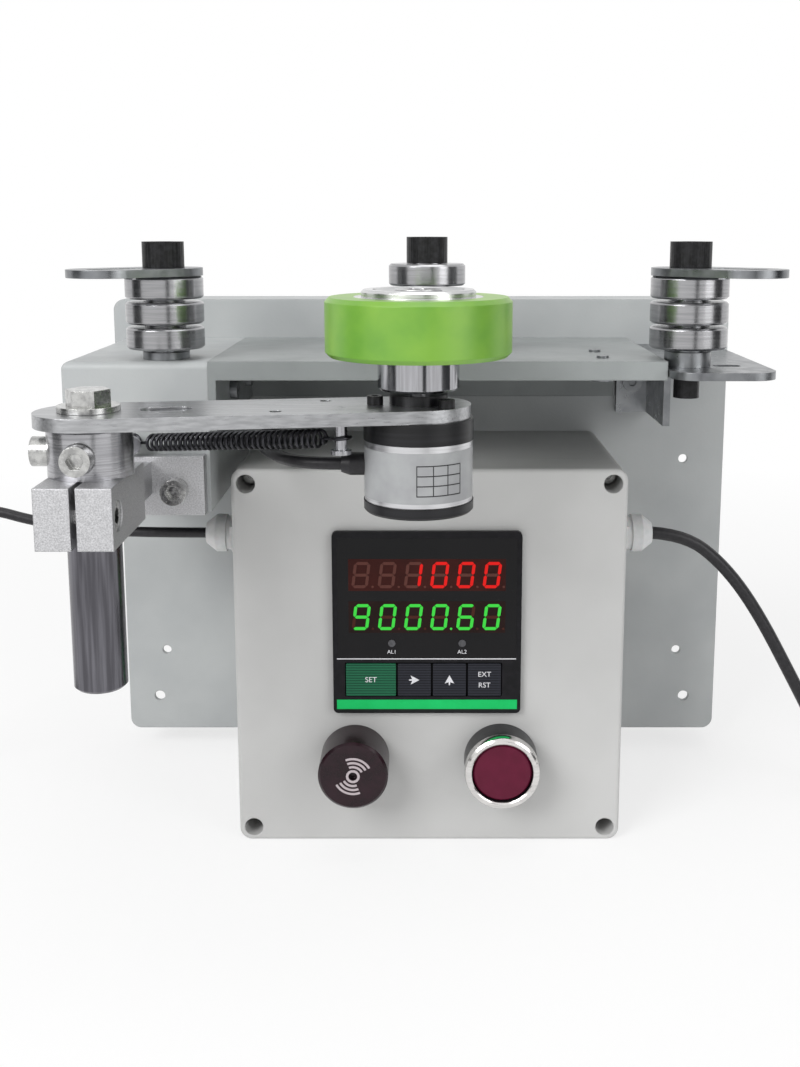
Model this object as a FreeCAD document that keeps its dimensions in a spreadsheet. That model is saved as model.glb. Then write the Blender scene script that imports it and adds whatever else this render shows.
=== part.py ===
import FreeCAD, Part
import math
import os
import re
import Sketcher

# Cable length counter. The cable runs between a sprung measuring wheel and three stacks of guide
# bearings; a control box below shows the length. X is to the right, Y to the back, Z up, and the
# origin is the middle of the control box's underside, on which the counter stands.

SIZES = {
    # control box: a base and a lid, both open shells that meet in a seam
    "box_width": 158, "box_height": 158, "box_depth": 90, "box_wall": 3, "box_corner": 5,
    "lid_depth": 22, "lid_screw_inset": 6, "lid_recess_radius": 3.8, "lid_boss_radius": 5.2,
    "lid_screw_radius": 1.8, "lid_screw_head": 3.2, "lid_screw_head_tall": 2.4, "lid_screw_length": 16,
    "lid_screw_socket": 1.6, "lid_seat": 4,
    # preset counter: bezel, window and four keys
    "meter_x": -1, "meter_z": 95.1, "meter_bezel": 76, "meter_proud": 2.5, "meter_case_side": 67.6,
    "meter_depth": 60, "meter_wall": 2, "window_width": 72, "window_height": 50, "window_thick": 1.5,
    "window_rise": 10.5, "key_height": 13.6, "key_wide": 20.2, "key_narrow": 13.4, "key_gap": 0.8,
    "key_thick": 3.3, "key_proud": 0.3, "key_start": -32.8, "key_drop": -23.65, "key_clear": 0.4,
    "key_well": 4,
    # buzzer and push button, both held by a nut behind the lid
    "panel_thread": 10.9, "nut_radius": 14.5, "nut_thick": 5, "thread_length": 22,
    "buzzer_x": -30.5, "buzzer_z": 37, "buzzer_radius": 14, "buzzer_proud": 18, "buzzer_hole": 1.5,
    "button_x": 29.3, "button_z": 36.5, "button_radius": 15, "button_proud": 14.5,
    "cap_radius": 12, "cap_clear": 0.3, "cap_thick": 5, "cap_sunk": 0.5, "cap_travel": 3.5,
    "stem_radius": 8.9, "stem_clear": 0.4,
    # cable glands in the box's two side walls
    "gland_z": 120.5, "gland_thread": 6, "gland_hex": 9.4, "gland_length": 18,
    # mounting panel: a pan of bent sheet behind the box
    "panel_width": 284, "panel_height": 209, "panel_x": -3.5, "panel_bottom": 10.5,
    "panel_sheet": 2, "panel_rim": 25, "panel_corner": 5,
    "mount_span": 246.4, "mount_rise": 94.2, "mount_low": 50.5, "mount_radius": 2.1,
    "foot_hole_span": 255, "foot_hole_z": 27, "foot_hole_radius": 2.5,
    # guide shelf and the pedestal at its left end
    "shelf_rise": 40.8, "shelf_sheet": 3, "shelf_right": 91.2, "shelf_skirt": 24, "shelf_lip": 7.3,
    "pedestal_gap": 6, "pedestal_width": 56, "pedestal_front": -54, "pedestal_foot": 143,
    # right base plate: a bent sheet with a tab under the shelf and a gusset against the panel
    "plate_thick": 3, "plate_gap": 0.3, "plate_end": 131.5, "plate_front": -66, "plate_corner": 10,
    "plate_slot": 5, "gusset_left": 87, "gusset_right": 104, "gusset_front": 2, "gusset_drop": 31.4,
    "tab_left": 60, "tab_front": -50, "tab_back": -9, "tab_screw_x": 68, "tab_screw_inset": 9,
    # guide stacks: three bearings on a socket screw at the left, in the middle and at the right
    "guide_middle": -1, "guide_span": 204, "guide_y": -42, "middle_y": -36,
    "bearing_bore": 5, "bearing_radius": 15, "bearing_width": 9, "bearing_relief": 0.3,
    "race_inner": 7.7, "race_outer": 12.35, "shield_bore": 8.1, "ball_pitch": 10, "ball_radius": 2.3,
    "guide_lift": 3.9, "spacer_radius": 9, "shim": 3, "shim_radius": 7.2, "guide_washer": 0.65,
    "screw_head": 8, "screw_head_tall": 10, "screw_tail": 12.4, "screw_socket": 4.6,
    "wing_reach": 24, "wing_radius": 15, "wing_thick": 3, "wing_yaw": 42, "wing_slot": 3,
    # fasteners of the sheet parts
    "frame_head": 4.5, "frame_head_tall": 3, "frame_shank": 2.4, "frame_length": 7,
    # pivot: rod clamp on the pedestal, vertical rod, hub, bolt, washer and bush
    "pivot_inset": 28.5, "pivot_y": -120, "clamp_low": 151.6, "clamp_tall": 20.3, "clamp_width": 25,
    "clamp_front": -143.4, "clamp_back": -100, "clamp_slit": 2, "neck_width": 12, "neck_tall": 12.4,
    "flange_width": 52, "flange_low": 143, "flange_tall": 23, "flange_thick": 6,
    "rod_radius": 9, "rod_length": 88, "hub_radius": 14, "hub_tall": 16.5, "hub_cap": 2.4,
    "run_gap": 0.1, "bolt_radius": 4, "bolt_length": 25, "bolt_hex": 7.5, "bolt_head_tall": 5.3,
    "washer_radius": 10.3, "washer_thick": 1.9, "bush_radius": 7, "bush_clear": 0.05,
    "m6_head": 5, "m6_head_tall": 6, "m6_shank": 3, "m6_socket": 2.9, "bracket_pitch": 30,
    "bracket_screw_z": 153, "clamp_screw_y": -136, "clamp_screw_z": 161.5, "hub_screw_z": 179.5,
    # swing arm with the encoder and the measuring wheel at its end
    "arm_length": 109.82, "arm_yaw": 8.9, "arm_radius": 18, "arm_thick": 4.5,
    "arm_slot_x": 21, "arm_slot_length": 8, "arm_slot_radius": 3,
    "encoder_boss": 10, "encoder_boss_tall": 8, "encoder_flange_radius": 19, "encoder_flange_tall": 7.5,
    "encoder_body_radius": 18.7, "encoder_body_tall": 21, "encoder_wall": 1.5, "encoder_cap_tall": 4,
    "m3_pitch": 15, "m3_shank": 1.5, "m3_head": 2.75, "m3_head_tall": 3,
    "shaft_radius": 4, "shaft_clear": 0.05, "shaft_below": 16, "shaft_top": 1,
    "wheel_girth": 200, "tyre_width": 20, "tyre_inner": 22, "tyre_edge": 1.5,
    "wheel_lift": 16.5, "wheel_lip": 19.5, "wheel_lip_tall": 2.5, "collar_radius": 14, "collar_gap": 1.5,
    "gland_stub": 4, "gland_stub_reach": 8,
    # tension spring between a post on the pedestal and a post under the arm
    "post_radius": 2, "post_head": 3.5, "post_length": 8, "post_stub": 1.5,
    "post_inset": 28, "fixed_post_z": 171, "arm_post_gap": 8.12, "arm_post_y": -4.9, "arm_post_drop": 6,
    "spring_radius": 3.5, "spring_root": 2.8, "spring_wire": 0.6, "spring_eye": 3.2, "spring_reach": 7.5,
    # cords with their coils, the mains plug and the output connector
    "encoder_lead_radius": 2.25, "power_lead_radius": 2.75, "output_lead_radius": 2.25,
    "grommet_x": -60, "grommet_z": 166, "grommet_radius": 5.5, "grommet_groove": 4,
    "power_coil_radius": 33, "output_coil_radius": 27, "coil_layers": 2, "coil_rows": 4,
    "plug_width": 36, "plug_length": 37, "plug_thick": 13.7, "pin_radius": 2, "pin_length": 19,
    "pin_pitch": 19, "connector_radius": 6.5, "connector_length": 32, "relief_length": 18,
}

# places that follow from the sizes
PLACES = {
    "box_back": "box_depth / 2",
    "box_front": "-box_depth / 2",
    "seam": "lid_depth - box_depth / 2",
    "panel_z": "panel_bottom + panel_height / 2",
    "panel_rear": "box_back + panel_rim",
    "shelf_low": "box_height + shelf_rise",
    "shelf_top": "shelf_low + shelf_sheet",
    "pedestal_right": "-box_width / 2 - pedestal_gap",
    "pedestal_left": "pedestal_right - pedestal_width",
    "pivot_x": "pedestal_left + pivot_inset",
    "fixed_post_x": "pedestal_left + post_inset",
    "left_x": "guide_middle - guide_span / 2",
    "right_x": "guide_middle + guide_span / 2",
    "guide_low": "shelf_top + guide_lift",
    "side_top": "guide_low + 3 * bearing_width + 2 * guide_washer",
    "middle_top": "guide_low + 3 * bearing_width + 2 * shim",
    "clamp_top": "clamp_low + clamp_tall",
    "hub_top": "clamp_top + hub_tall",
    "arm_low": "hub_top + run_gap",
    "arm_top": "arm_low + arm_thick",
    "washer_low": "arm_top + run_gap",
    "head_low": "washer_low + washer_thick",
    "rod_top": "hub_top - hub_cap",
    "wheel_x": "pivot_x + arm_length * cos(arm_yaw)",
    "wheel_y": "pivot_y + arm_length * sin(arm_yaw)",
    "flange_bottom": "arm_low - encoder_flange_tall",
    "encoder_bottom": "flange_bottom - encoder_body_tall",
    "boss_top": "arm_low + encoder_boss_tall",
    "tyre_low": "arm_top + wheel_lift",
    "tyre_radius": "wheel_girth / (2 * pi)",
    "hub_lip": "tyre_low + tyre_width + wheel_lip_tall",
    "fixed_post_y": "pedestal_front - post_length / 2",
    "arm_post_z": "arm_low - arm_post_drop",
    "skirt_low": "shelf_low - shelf_skirt",
    "plate_low": "shelf_low - plate_thick",
    "plate_left": "shelf_right + plate_gap",
    "gusset_low": "shelf_low - gusset_drop",
    "shelf_front": "pedestal_front",
    "arm_post_x": "arm_length - encoder_flange_radius - arm_post_gap",
    "flange_front": "pedestal_front - flange_thick",
}

doc = FreeCAD.newDocument("cable_length_counter")
sheet = doc.addObject("Spreadsheet::Sheet", "size")
for row, (alias, value) in enumerate(SIZES.items(), start=1):
    sheet.set("A%d" % row, alias)
    sheet.set("B%d" % row, str(value))
    sheet.setAlias("B%d" % row, alias)
doc.recompute()

UP = FreeCAD.Rotation()
DOWN = FreeCAD.Rotation(FreeCAD.Vector(1, 0, 0), 180)
TO_FRONT = FreeCAD.Rotation(FreeCAD.Vector(1, 0, 0), 90)
TO_BACK = FreeCAD.Rotation(FreeCAD.Vector(1, 0, 0), -90)
TO_RIGHT = FreeCAD.Rotation(FreeCAD.Vector(0, 1, 0), 90)
TO_LEFT = FreeCAD.Rotation(FreeCAD.Vector(0, 1, 0), -90)
NODES = []


def formula(text):
    """Writes a formula's size names the way the sheet's expressions name them."""
    def name(match):
        word = match.group()
        if word in PLACES:
            return "(" + formula(PLACES[word]) + ")"
        return "size." + word if word in SIZES else word
    return re.sub(r"[a-z][a-z0-9_]*", name, str(text))


def number(text):
    """The present value of a formula."""
    return float(sheet.evalExpression(formula(text)))


def bind(thing, name, text):
    thing.setExpression(name, formula(text))


def place(thing, x="0", y="0", z="0", turn=UP):
    """Sets an object's Placement; its position follows the sheet."""
    thing.Placement = FreeCAD.Placement(FreeCAD.Vector(0, 0, 0), turn)
    for axis, text in zip("xyz", (x, y, z)):
        bind(thing, ".Placement.Base." + axis, text)
    return thing


def node(thing, name):
    """Marks an object as a named sub-part."""
    thing.Label = name
    NODES.append(thing)
    return thing


# ---- primitives and booleans

def block(name, x0, x1, y0, y1, z0, z1):
    box = doc.addObject("Part::Box", name)
    for side, low, high in (("Length", x0, x1), ("Width", y0, y1), ("Height", z0, z1)):
        bind(box, side, "(%s) - (%s)" % (high, low))
    return place(box, x0, y0, z0)


def bar(name, radius, length, x="0", y="0", z="0", turn=UP):
    cylinder = doc.addObject("Part::Cylinder", name)
    bind(cylinder, "Radius", radius)
    bind(cylinder, "Height", length)
    return place(cylinder, x, y, z, turn)


def hexagon(name, radius, length, x="0", y="0", z="0", turn=UP):
    prism = doc.addObject("Part::Prism", name)
    prism.Polygon = 6
    bind(prism, "Circumradius", radius)
    bind(prism, "Height", length)
    return place(prism, x, y, z, turn)


def fuse(name, parts):
    union = doc.addObject("Part::MultiFuse", name)
    union.Shapes = parts
    union.Refine = True
    return union


def cut(name, base, tools):
    result = doc.addObject("Part::Cut", name)
    result.Base = base
    result.Tool = tools[0] if len(tools) == 1 else fuse(name + "_tools", tools)
    return result


def group(name, parts):
    compound = doc.addObject("Part::Compound", name)
    compound.Links = parts
    return compound


# ---- sketched bodies

def new_body(name):
    return doc.addObject("PartDesign::Body", name)


def new_sketch(body, role="XY_Plane", lift="0"):
    plane = next(f for f in body.Origin.OriginFeatures if f.Role == role)
    sketch = body.newObject("Sketcher::SketchObject", body.Name + "_sketch")
    sketch.AttachmentSupport = (plane, [""])
    sketch.MapMode = "FlatFace"
    bind(sketch, ".AttachmentOffset.Base.z", lift)
    return sketch


def dimension(sketch, kind, where, text):
    index = sketch.addConstraint(Sketcher.Constraint(kind, *where, number(text)))
    bind(sketch, "Constraints[%d]" % index, text)


def spot(sketch, item, end, x, y):
    """Ties a point of a sketch to its place."""
    dimension(sketch, "DistanceX", (-1, 1, item, end), x)
    dimension(sketch, "DistanceY", (-1, 1, item, end), y)


def draw_polygon(sketch, points):
    corners = [FreeCAD.Vector(number(x), number(y), 0) for x, y in points]
    count = len(corners)
    first = sketch.GeometryCount
    for i in range(count):
        sketch.addGeometry(Part.LineSegment(corners[i], corners[(i + 1) % count]), False)
    for i in range(count):
        here, after = first + i, first + (i + 1) % count
        sketch.addConstraint(Sketcher.Constraint("Coincident", here, 2, after, 1))
    for i, (x, y) in enumerate(points):
        spot(sketch, first + i, 1, x, y)


def draw_circles(sketch, circles):
    for x, y, radius in circles:
        centre = FreeCAD.Vector(number(x), number(y), 0)
        shape = Part.Circle(centre, FreeCAD.Vector(0, 0, 1), number(radius))
        item = sketch.addGeometry(shape, False)
        spot(sketch, item, 3, x, y)
        dimension(sketch, "Radius", (item,), radius)


def draw_rounded(sketch, width, height, radius, x="0", y="0"):
    """A rectangle with round corners about x, y."""
    r = number(radius)
    signs = ((1, 1), (-1, 1), (-1, -1), (1, -1))
    centres = []
    for side, level in signs:
        centres.append(("(%s) + %d * ((%s) / 2 - (%s))" % (x, side, width, radius),
                        "(%s) + %d * ((%s) / 2 - (%s))" % (y, level, height, radius)))
    arcs = []
    for i, (cx, cy) in enumerate(centres):
        circle = Part.Circle(FreeCAD.Vector(number(cx), number(cy), 0), FreeCAD.Vector(0, 0, 1), r)
        start = i * math.pi / 2
        arcs.append(sketch.addGeometry(Part.ArcOfCircle(circle, start, start + math.pi / 2), False))
    for i in range(4):
        a = sketch.Geometry[arcs[i]].EndPoint
        b = sketch.Geometry[arcs[(i + 1) % 4]].StartPoint
        line = sketch.addGeometry(Part.LineSegment(a, b), False)
        sketch.addConstraint(Sketcher.Constraint("Tangent", arcs[i], 2, line, 1))
        sketch.addConstraint(Sketcher.Constraint("Tangent", line, 2, arcs[(i + 1) % 4], 1))
    for arc, (cx, cy) in zip(arcs, centres):
        spot(sketch, arc, 3, cx, cy)
        dimension(sketch, "Radius", (arc,), radius)


def draw_slot(sketch, x0, x1, y, radius):
    """A slot along X with its round ends centred at x0 and x1."""
    r = number(radius)
    centres = ((x0, math.pi / 2), (x1, -math.pi / 2))
    arcs = []
    for x, start in centres:
        circle = Part.Circle(FreeCAD.Vector(number(x), number(y), 0), FreeCAD.Vector(0, 0, 1), r)
        arcs.append(sketch.addGeometry(Part.ArcOfCircle(circle, start, start + math.pi), False))
    for a, b in (arcs, arcs[::-1]):
        end, begin = sketch.Geometry[a].EndPoint, sketch.Geometry[b].StartPoint
        line = sketch.addGeometry(Part.LineSegment(end, begin), False)
        sketch.addConstraint(Sketcher.Constraint("Tangent", a, 2, line, 1))
        sketch.addConstraint(Sketcher.Constraint("Tangent", line, 2, b, 1))
    for arc, x in zip(arcs, (x0, x1)):
        spot(sketch, arc, 3, x, y)
        dimension(sketch, "Radius", (arc,), radius)


def pad(body, sketch, length):
    feature = body.newObject("PartDesign::Pad", body.Name + "_pad")
    feature.Profile = sketch
    bind(feature, "Length", length)
    doc.recompute()
    return feature


def pocket(body, sketch, depth, upwards=False):
    feature = body.newObject("PartDesign::Pocket", body.Name + "_pocket")
    feature.Profile = sketch
    feature.Reversed = upwards
    bind(feature, "Length", depth)
    before = body.Shape.Volume
    doc.recompute()
    if not body.Shape.Volume < before:
        raise RuntimeError("pocket cuts nothing: " + body.Name)
    return feature


def turned(name, profile, x="0", y="0", z="0", turn=UP):
    """A body of revolution about its own Z: the profile holds radius and height pairs."""
    body = new_body(name)
    sketch = new_sketch(body, "XZ_Plane")
    draw_polygon(sketch, profile)
    feature = body.newObject("PartDesign::Revolution", name + "_turned")
    feature.Profile = sketch
    feature.ReferenceAxis = (sketch, ["V_Axis"])
    feature.Angle = 360
    return place(body, x, y, z, turn)


def socket_screw(name, head, tall, shank, length, socket, x, y, z, turn):
    """A socket head screw: its head stands above the origin and its shank below."""
    inverse = turn.multiply(DOWN)
    parts = [bar(name + "_head", head, tall, x, y, z, turn),
             bar(name + "_shank", shank, length, x, y, z, inverse)]
    solid = fuse(name + "_blank", parts)
    out = turn.multVec(FreeCAD.Vector(0, 0, 1))
    spot_at = []
    for text, share in zip((x, y, z), out):
        spot_at.append("(%s) + %.0f * (%s) / 2" % (text, round(share), tall))
    key = hexagon(name + "_socket", socket, tall, *spot_at, turn)
    return cut(name, solid, [key])


# ---- control box

body = new_body("box_base_shell")
place(body, "0", "box_back", "box_height / 2", TO_FRONT)
BASE_DEPTH = "(box_depth - lid_depth)"
BOSS_X = "(box_width / 2 - lid_screw_inset)"
BOSS_Y = "(box_height / 2 - lid_screw_inset)"
CORNERS = [("%d * %s" % (i, BOSS_X), "%d * %s" % (j, BOSS_Y)) for i in (1, -1) for j in (1, -1)]
INNER_CORNER = "box_corner - box_wall"
sketch = new_sketch(body)
draw_rounded(sketch, "box_width", "box_height", "box_corner")
pad(body, sketch, BASE_DEPTH)
sketch = new_sketch(body, lift=BASE_DEPTH)
draw_rounded(sketch, "box_width - 2 * box_wall", "box_height - 2 * box_wall", INNER_CORNER)
pocket(body, sketch, BASE_DEPTH + " - box_wall")
sketch = new_sketch(body)
draw_circles(sketch, [(x, y, "lid_boss_radius") for x, y in CORNERS])
pad(body, sketch, BASE_DEPTH)
sketch = new_sketch(body, lift=BASE_DEPTH)
draw_circles(sketch, [(x, y, "lid_screw_radius") for x, y in CORNERS])
pocket(body, sketch, "lid_depth")
tools = []
for side in (-1, 1):
    inner = "%d * box_width / 2 - 2 * box_wall" % side
    tools.append(bar("gland_hole", "gland_thread", "4 * box_wall", inner, "0", "gland_z", TO_RIGHT))
BOX_SCREWS = [("%d * box_width * 0.35" % i, "box_height * %.2f" % j) for i in (-1, 1) for j in (0.16, 0.84)]
for x, z in BOX_SCREWS:
    tools.append(bar("box_screw_hole", "frame_shank", "2 * box_wall", x, "box_back + box_wall", z, TO_FRONT))
node(cut("box_base", body, tools), "box_base")

body = new_body("box_lid")
place(body, "0", "seam", "box_height / 2", TO_FRONT)
sketch = new_sketch(body)
draw_rounded(sketch, "box_width", "box_height", "box_corner")
lid_pad = pad(body, sketch, "lid_depth")
top = number("lid_depth")
rim = [i for i, e in enumerate(lid_pad.Shape.Edges, 1) if all(abs(v.Z - top) < 1e-6 for v in e.Vertexes)]
soft = body.newObject("PartDesign::Fillet", "lid_edge")
soft.Base = (lid_pad, ["Edge%d" % i for i in rim])
bind(soft, "Radius", "box_wall * 0.6")
doc.recompute()
sketch = new_sketch(body)
draw_rounded(sketch, "box_width - 2 * box_wall", "box_height - 2 * box_wall", INNER_CORNER)
pocket(body, sketch, "lid_depth - box_wall", upwards=True)
sketch = new_sketch(body)
draw_circles(sketch, [(x, y, "lid_boss_radius") for x, y in CORNERS])
pad(body, sketch, "lid_depth - box_wall / 2")
sketch = new_sketch(body, lift="lid_depth")
draw_circles(sketch, [(x, y, "lid_recess_radius") for x, y in CORNERS])
pocket(body, sketch, "lid_depth - lid_seat")
sketch = new_sketch(body, lift="lid_seat")
draw_circles(sketch, [(x, y, "lid_screw_radius") for x, y in CORNERS])
pocket(body, sketch, "lid_seat")
sketch = new_sketch(body, lift="lid_depth")
CENTRE_Z = " - box_height / 2"
draw_rounded(sketch, "meter_case_side", "meter_case_side", "1", "meter_x", "meter_z" + CENTRE_Z)
draw_circles(sketch, [("buzzer_x", "buzzer_z" + CENTRE_Z, "panel_thread"),
                      ("button_x", "button_z" + CENTRE_Z, "panel_thread")])
pocket(body, sketch, "2 * box_wall")
node(body, "box_lid")

screws = []
for i, (x, y) in enumerate(CORNERS):
    screws.append(socket_screw("lid_screw_%d" % i, "lid_screw_head", "lid_screw_head_tall",
                               "lid_screw_radius", "lid_screw_length", "lid_screw_socket", x,
                               "seam - lid_seat", y + " + box_height / 2", TO_FRONT))
node(group("lid_screws", screws), "lid_screws")

# ---- preset counter in the lid

def on_meter(name, x, y, z):
    """Puts a piece on the bezel's own axes, with z out of the lid."""
    return place(name, "meter_x + " + x, "box_front - (%s)" % z, "meter_z + " + y, TO_FRONT)


ROW_WIDTH = "(key_wide + 3 * key_narrow + 3 * key_gap)"
body = on_meter(new_body("meter_case"), "0", "0", "0")
sketch = new_sketch(body)
draw_rounded(sketch, "meter_bezel", "meter_bezel", "2")
pad(body, sketch, "meter_proud")
sketch = new_sketch(body, lift="-meter_depth")
draw_rounded(sketch, "meter_case_side", "meter_case_side", "1")
pad(body, sketch, "meter_depth")
sketch = new_sketch(body, lift="meter_proud")
draw_rounded(sketch, "window_width", "window_height", "1", "0", "window_rise")
pocket(body, sketch, "window_thick")
sketch = new_sketch(body, lift="meter_proud")
draw_rounded(sketch, ROW_WIDTH + " + 2 * key_clear", "key_height + 2 * key_clear", "0.6",
             "key_start + " + ROW_WIDTH + " / 2", "key_drop")
pocket(body, sketch, "key_well")
sketch = new_sketch(body, lift="-meter_depth")
draw_rounded(sketch, "meter_case_side - 2 * meter_wall", "meter_case_side - 2 * meter_wall", "1")
pocket(body, sketch, "meter_depth - 3 * meter_wall", upwards=True)
node(body, "meter_case")

body = on_meter(new_body("meter_window"), "0", "0", "meter_proud - window_thick")
sketch = new_sketch(body)
draw_rounded(sketch, "window_width", "window_height", "1", "0", "window_rise")
pad(body, sketch, "window_thick")
node(body, "meter_window")

left = "key_start"
for name, width in (("key_set", "key_wide"), ("key_shift", "key_narrow"), ("key_up", "key_narrow"),
                    ("key_reset", "key_narrow")):
    body = on_meter(new_body(name), "%s + %s / 2" % (left, width), "key_drop",
                    "meter_proud + key_proud - key_thick")
    sketch = new_sketch(body)
    draw_rounded(sketch, width, "key_height", "0.5")
    pad(body, sketch, "key_thick")
    node(body, name)
    left += " + %s + key_gap" % width

# ---- buzzer and push button

def threaded(bore):
    """The thread and nut behind the lid, from the back end to the lid's face."""
    back = "-box_wall - nut_thick"
    return [(bore, "-thread_length"), ("panel_thread", "-thread_length"), ("panel_thread", back),
            ("nut_radius", back), ("nut_radius", "-box_wall"), ("panel_thread", "-box_wall"),
            ("panel_thread", "0")]


profile = threaded("0") + [("buzzer_radius", "0"), ("buzzer_radius", "buzzer_proud - 1"),
                           ("buzzer_radius - 1", "buzzer_proud"), ("buzzer_hole", "buzzer_proud"),
                           ("buzzer_hole", "buzzer_proud - 2"), ("0", "buzzer_proud - 2")]
node(turned("buzzer", profile, "buzzer_x", "box_front", "buzzer_z", TO_FRONT), "buzzer")

RING_BORE = "cap_radius + cap_clear"
SEAT = "button_proud - cap_sunk - cap_thick - cap_travel - cap_clear"
profile = threaded("stem_radius + stem_clear") + [
    ("button_radius", "0"), ("button_radius", "button_proud - 1.2"), ("button_radius - 1.2", "button_proud"),
    (RING_BORE, "button_proud"), (RING_BORE, SEAT), ("stem_radius + stem_clear", SEAT)]
node(turned("button_bezel", profile, "button_x", "box_front", "button_z", TO_FRONT), "button_bezel")
CAP_TOP = "button_proud - cap_sunk"
profile = [("0", "4 - thread_length"), ("stem_radius", "4 - thread_length"),
           ("stem_radius", CAP_TOP + " - cap_thick"), ("cap_radius", CAP_TOP + " - cap_thick"),
           ("cap_radius", CAP_TOP + " - 0.8"), ("cap_radius - 0.8", CAP_TOP), ("0", CAP_TOP)]
node(turned("button_cap", profile, "button_x", "box_front", "button_z", TO_FRONT), "button_cap")

# ---- cable glands in the side walls

glands = []
for side, turn in ((-1, TO_LEFT), (1, TO_RIGHT)):
    wall = "%d * box_width / 2" % side
    inside = "-box_wall - 4"
    profile = [("0", inside), ("gland_thread", inside), ("gland_hex", inside),
               ("gland_hex", "-box_wall"), ("gland_thread", "-box_wall"), ("gland_thread", "0"),
               ("gland_hex - 0.6", "0"), ("gland_hex - 0.6", "1.5"), ("gland_hex - 2", "1.5"),
               ("gland_hex - 2", "gland_length / 2"), ("gland_hex - 1.2", "gland_length / 2"),
               ("gland_hex - 1.2", "gland_length - 4.5"), ("gland_hex / 2", "gland_length"),
               ("0", "gland_length")]
    shell = turned("gland_shell", profile, wall, "0", "gland_z", turn)
    start = "%s + %d * 1.5" % (wall, side)
    nut = hexagon("gland_nut", "gland_hex", "gland_length / 2 - 3.5", start, "0", "gland_z", turn)
    glands.append(fuse("gland", [shell, nut]))
node(group("cable_glands", glands), "cable_glands")

# ---- mounting panel

body = new_body("panel_pan")
place(body, "panel_x", "panel_rear", "panel_z", TO_FRONT)
sketch = new_sketch(body)
draw_rounded(sketch, "panel_width", "panel_height", "panel_corner")
pad(body, sketch, "panel_rim")
sketch = new_sketch(body)
draw_rounded(sketch, "panel_width - 2 * panel_sheet", "panel_height - 2 * panel_sheet",
             "panel_corner - panel_sheet")
pocket(body, sketch, "panel_rim - panel_sheet", upwards=True)
holes = []
for side in (-1, 1):
    across = "%d * mount_span / 2" % side
    for level in ("mount_low", "mount_low + mount_rise"):
        holes.append((across, level + " - panel_z", "mount_radius"))
    holes.append(("%d * foot_hole_span / 2" % side, "foot_hole_z - panel_z", "foot_hole_radius"))
holes.append(("grommet_x - panel_x", "grommet_z - panel_z", "grommet_groove"))
PEDESTAL_SCREWS = ("pedestal_left + pedestal_width / 4", "pedestal_left + 3 * pedestal_width / 4")
PEDESTAL_SCREW_Z = "pedestal_foot + 27"
SKIRT_SCREWS = ("(grommet_x + pedestal_right) / 2 + 32", "shelf_right - 40")
SKIRT_Z = "shelf_low - shelf_skirt / 2"
FLANGE_SCREW = ("(gusset_left + gusset_right - plate_thick) / 2", "(gusset_low + plate_low) / 2")
panel_screws = BOX_SCREWS + [FLANGE_SCREW]
panel_screws += [(x, PEDESTAL_SCREW_Z) for x in PEDESTAL_SCREWS] + [(x, SKIRT_Z) for x in SKIRT_SCREWS]
for x, z in panel_screws:
    holes.append((x + " - panel_x", z + " - panel_z", "frame_shank"))
sketch = new_sketch(body, lift="panel_rim")
draw_circles(sketch, holes)
pocket(body, sketch, "2 * panel_sheet")
node(body, "back_panel")

# ---- guide shelf, pedestal and right base plate

IN_LEFT = "pedestal_right + shelf_sheet"
parts = [
    block("shelf_top", "pedestal_right", "shelf_right", "shelf_front", "box_back", "shelf_low", "shelf_top"),
    block("shelf_lip", "pedestal_right", "shelf_right", "shelf_front", "shelf_front + shelf_sheet",
          "shelf_top - shelf_lip", "shelf_top"),
    block("shelf_left", "pedestal_right", IN_LEFT, "shelf_front", "box_back", "skirt_low", "shelf_top"),
    block("shelf_rear", "pedestal_right", "gusset_left - 1", "box_back - shelf_sheet", "box_back",
          "skirt_low", "shelf_top"),
]
PEDESTAL_SIDE_SCREWS = ("pedestal_front / 3", "box_back / 2")
TAB_SCREWS = ("tab_front + tab_screw_inset", "tab_back - tab_screw_inset")
tools = [bar("guide_hole", "bearing_bore", "3 * shelf_sheet", "guide_middle", "middle_y",
             "shelf_low - shelf_sheet")]
for y in TAB_SCREWS:
    tools.append(bar("tab_hole", "frame_shank", "3 * shelf_sheet", "tab_screw_x", y,
                     "shelf_low - shelf_sheet"))
for x in SKIRT_SCREWS:
    tools.append(bar("skirt_hole", "frame_shank", "3 * shelf_sheet", x, "box_back + shelf_sheet", SKIRT_Z,
                     TO_FRONT))
for y in PEDESTAL_SIDE_SCREWS:
    tools.append(bar("side_hole", "frame_shank", "3 * shelf_sheet", "pedestal_right - shelf_sheet", y,
                     SKIRT_Z, TO_RIGHT))
node(cut("guide_shelf", fuse("shelf_blank", parts), tools), "guide_shelf")

INSIDE = ("pedestal_left + shelf_sheet", "pedestal_right - shelf_sheet")
outer = block("pedestal_outer", "pedestal_left", "pedestal_right", "pedestal_front", "box_back",
              "pedestal_foot", "shelf_top")
hollow = block("pedestal_hollow", *INSIDE, "pedestal_front + shelf_sheet", "box_back - shelf_sheet",
               "pedestal_foot - 1", "shelf_low")
bend = doc.addObject("Part::Fillet", "pedestal_bend")
bend.Base = outer
doc.recompute()
edges = []
front, roof = number("pedestal_front"), number("shelf_top")
for i, edge in enumerate(outer.Shape.Edges, 1):
    ends = [v.Point for v in edge.Vertexes]
    along_roof = all(abs(p.z - roof) < 1e-6 for p in ends) and not all(abs(p.y - front) > 1e-6 for p in ends)
    sides = all(abs(p.z - roof) < 1e-6 for p in ends) and abs(ends[0].x - ends[1].x) < 1e-6
    if (along_roof or sides) and not all(abs(p.x - number("pedestal_right")) < 1e-6 for p in ends):
        edges.append((i, number("shelf_sheet"), number("shelf_sheet")))
bend.Edges = edges
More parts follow.
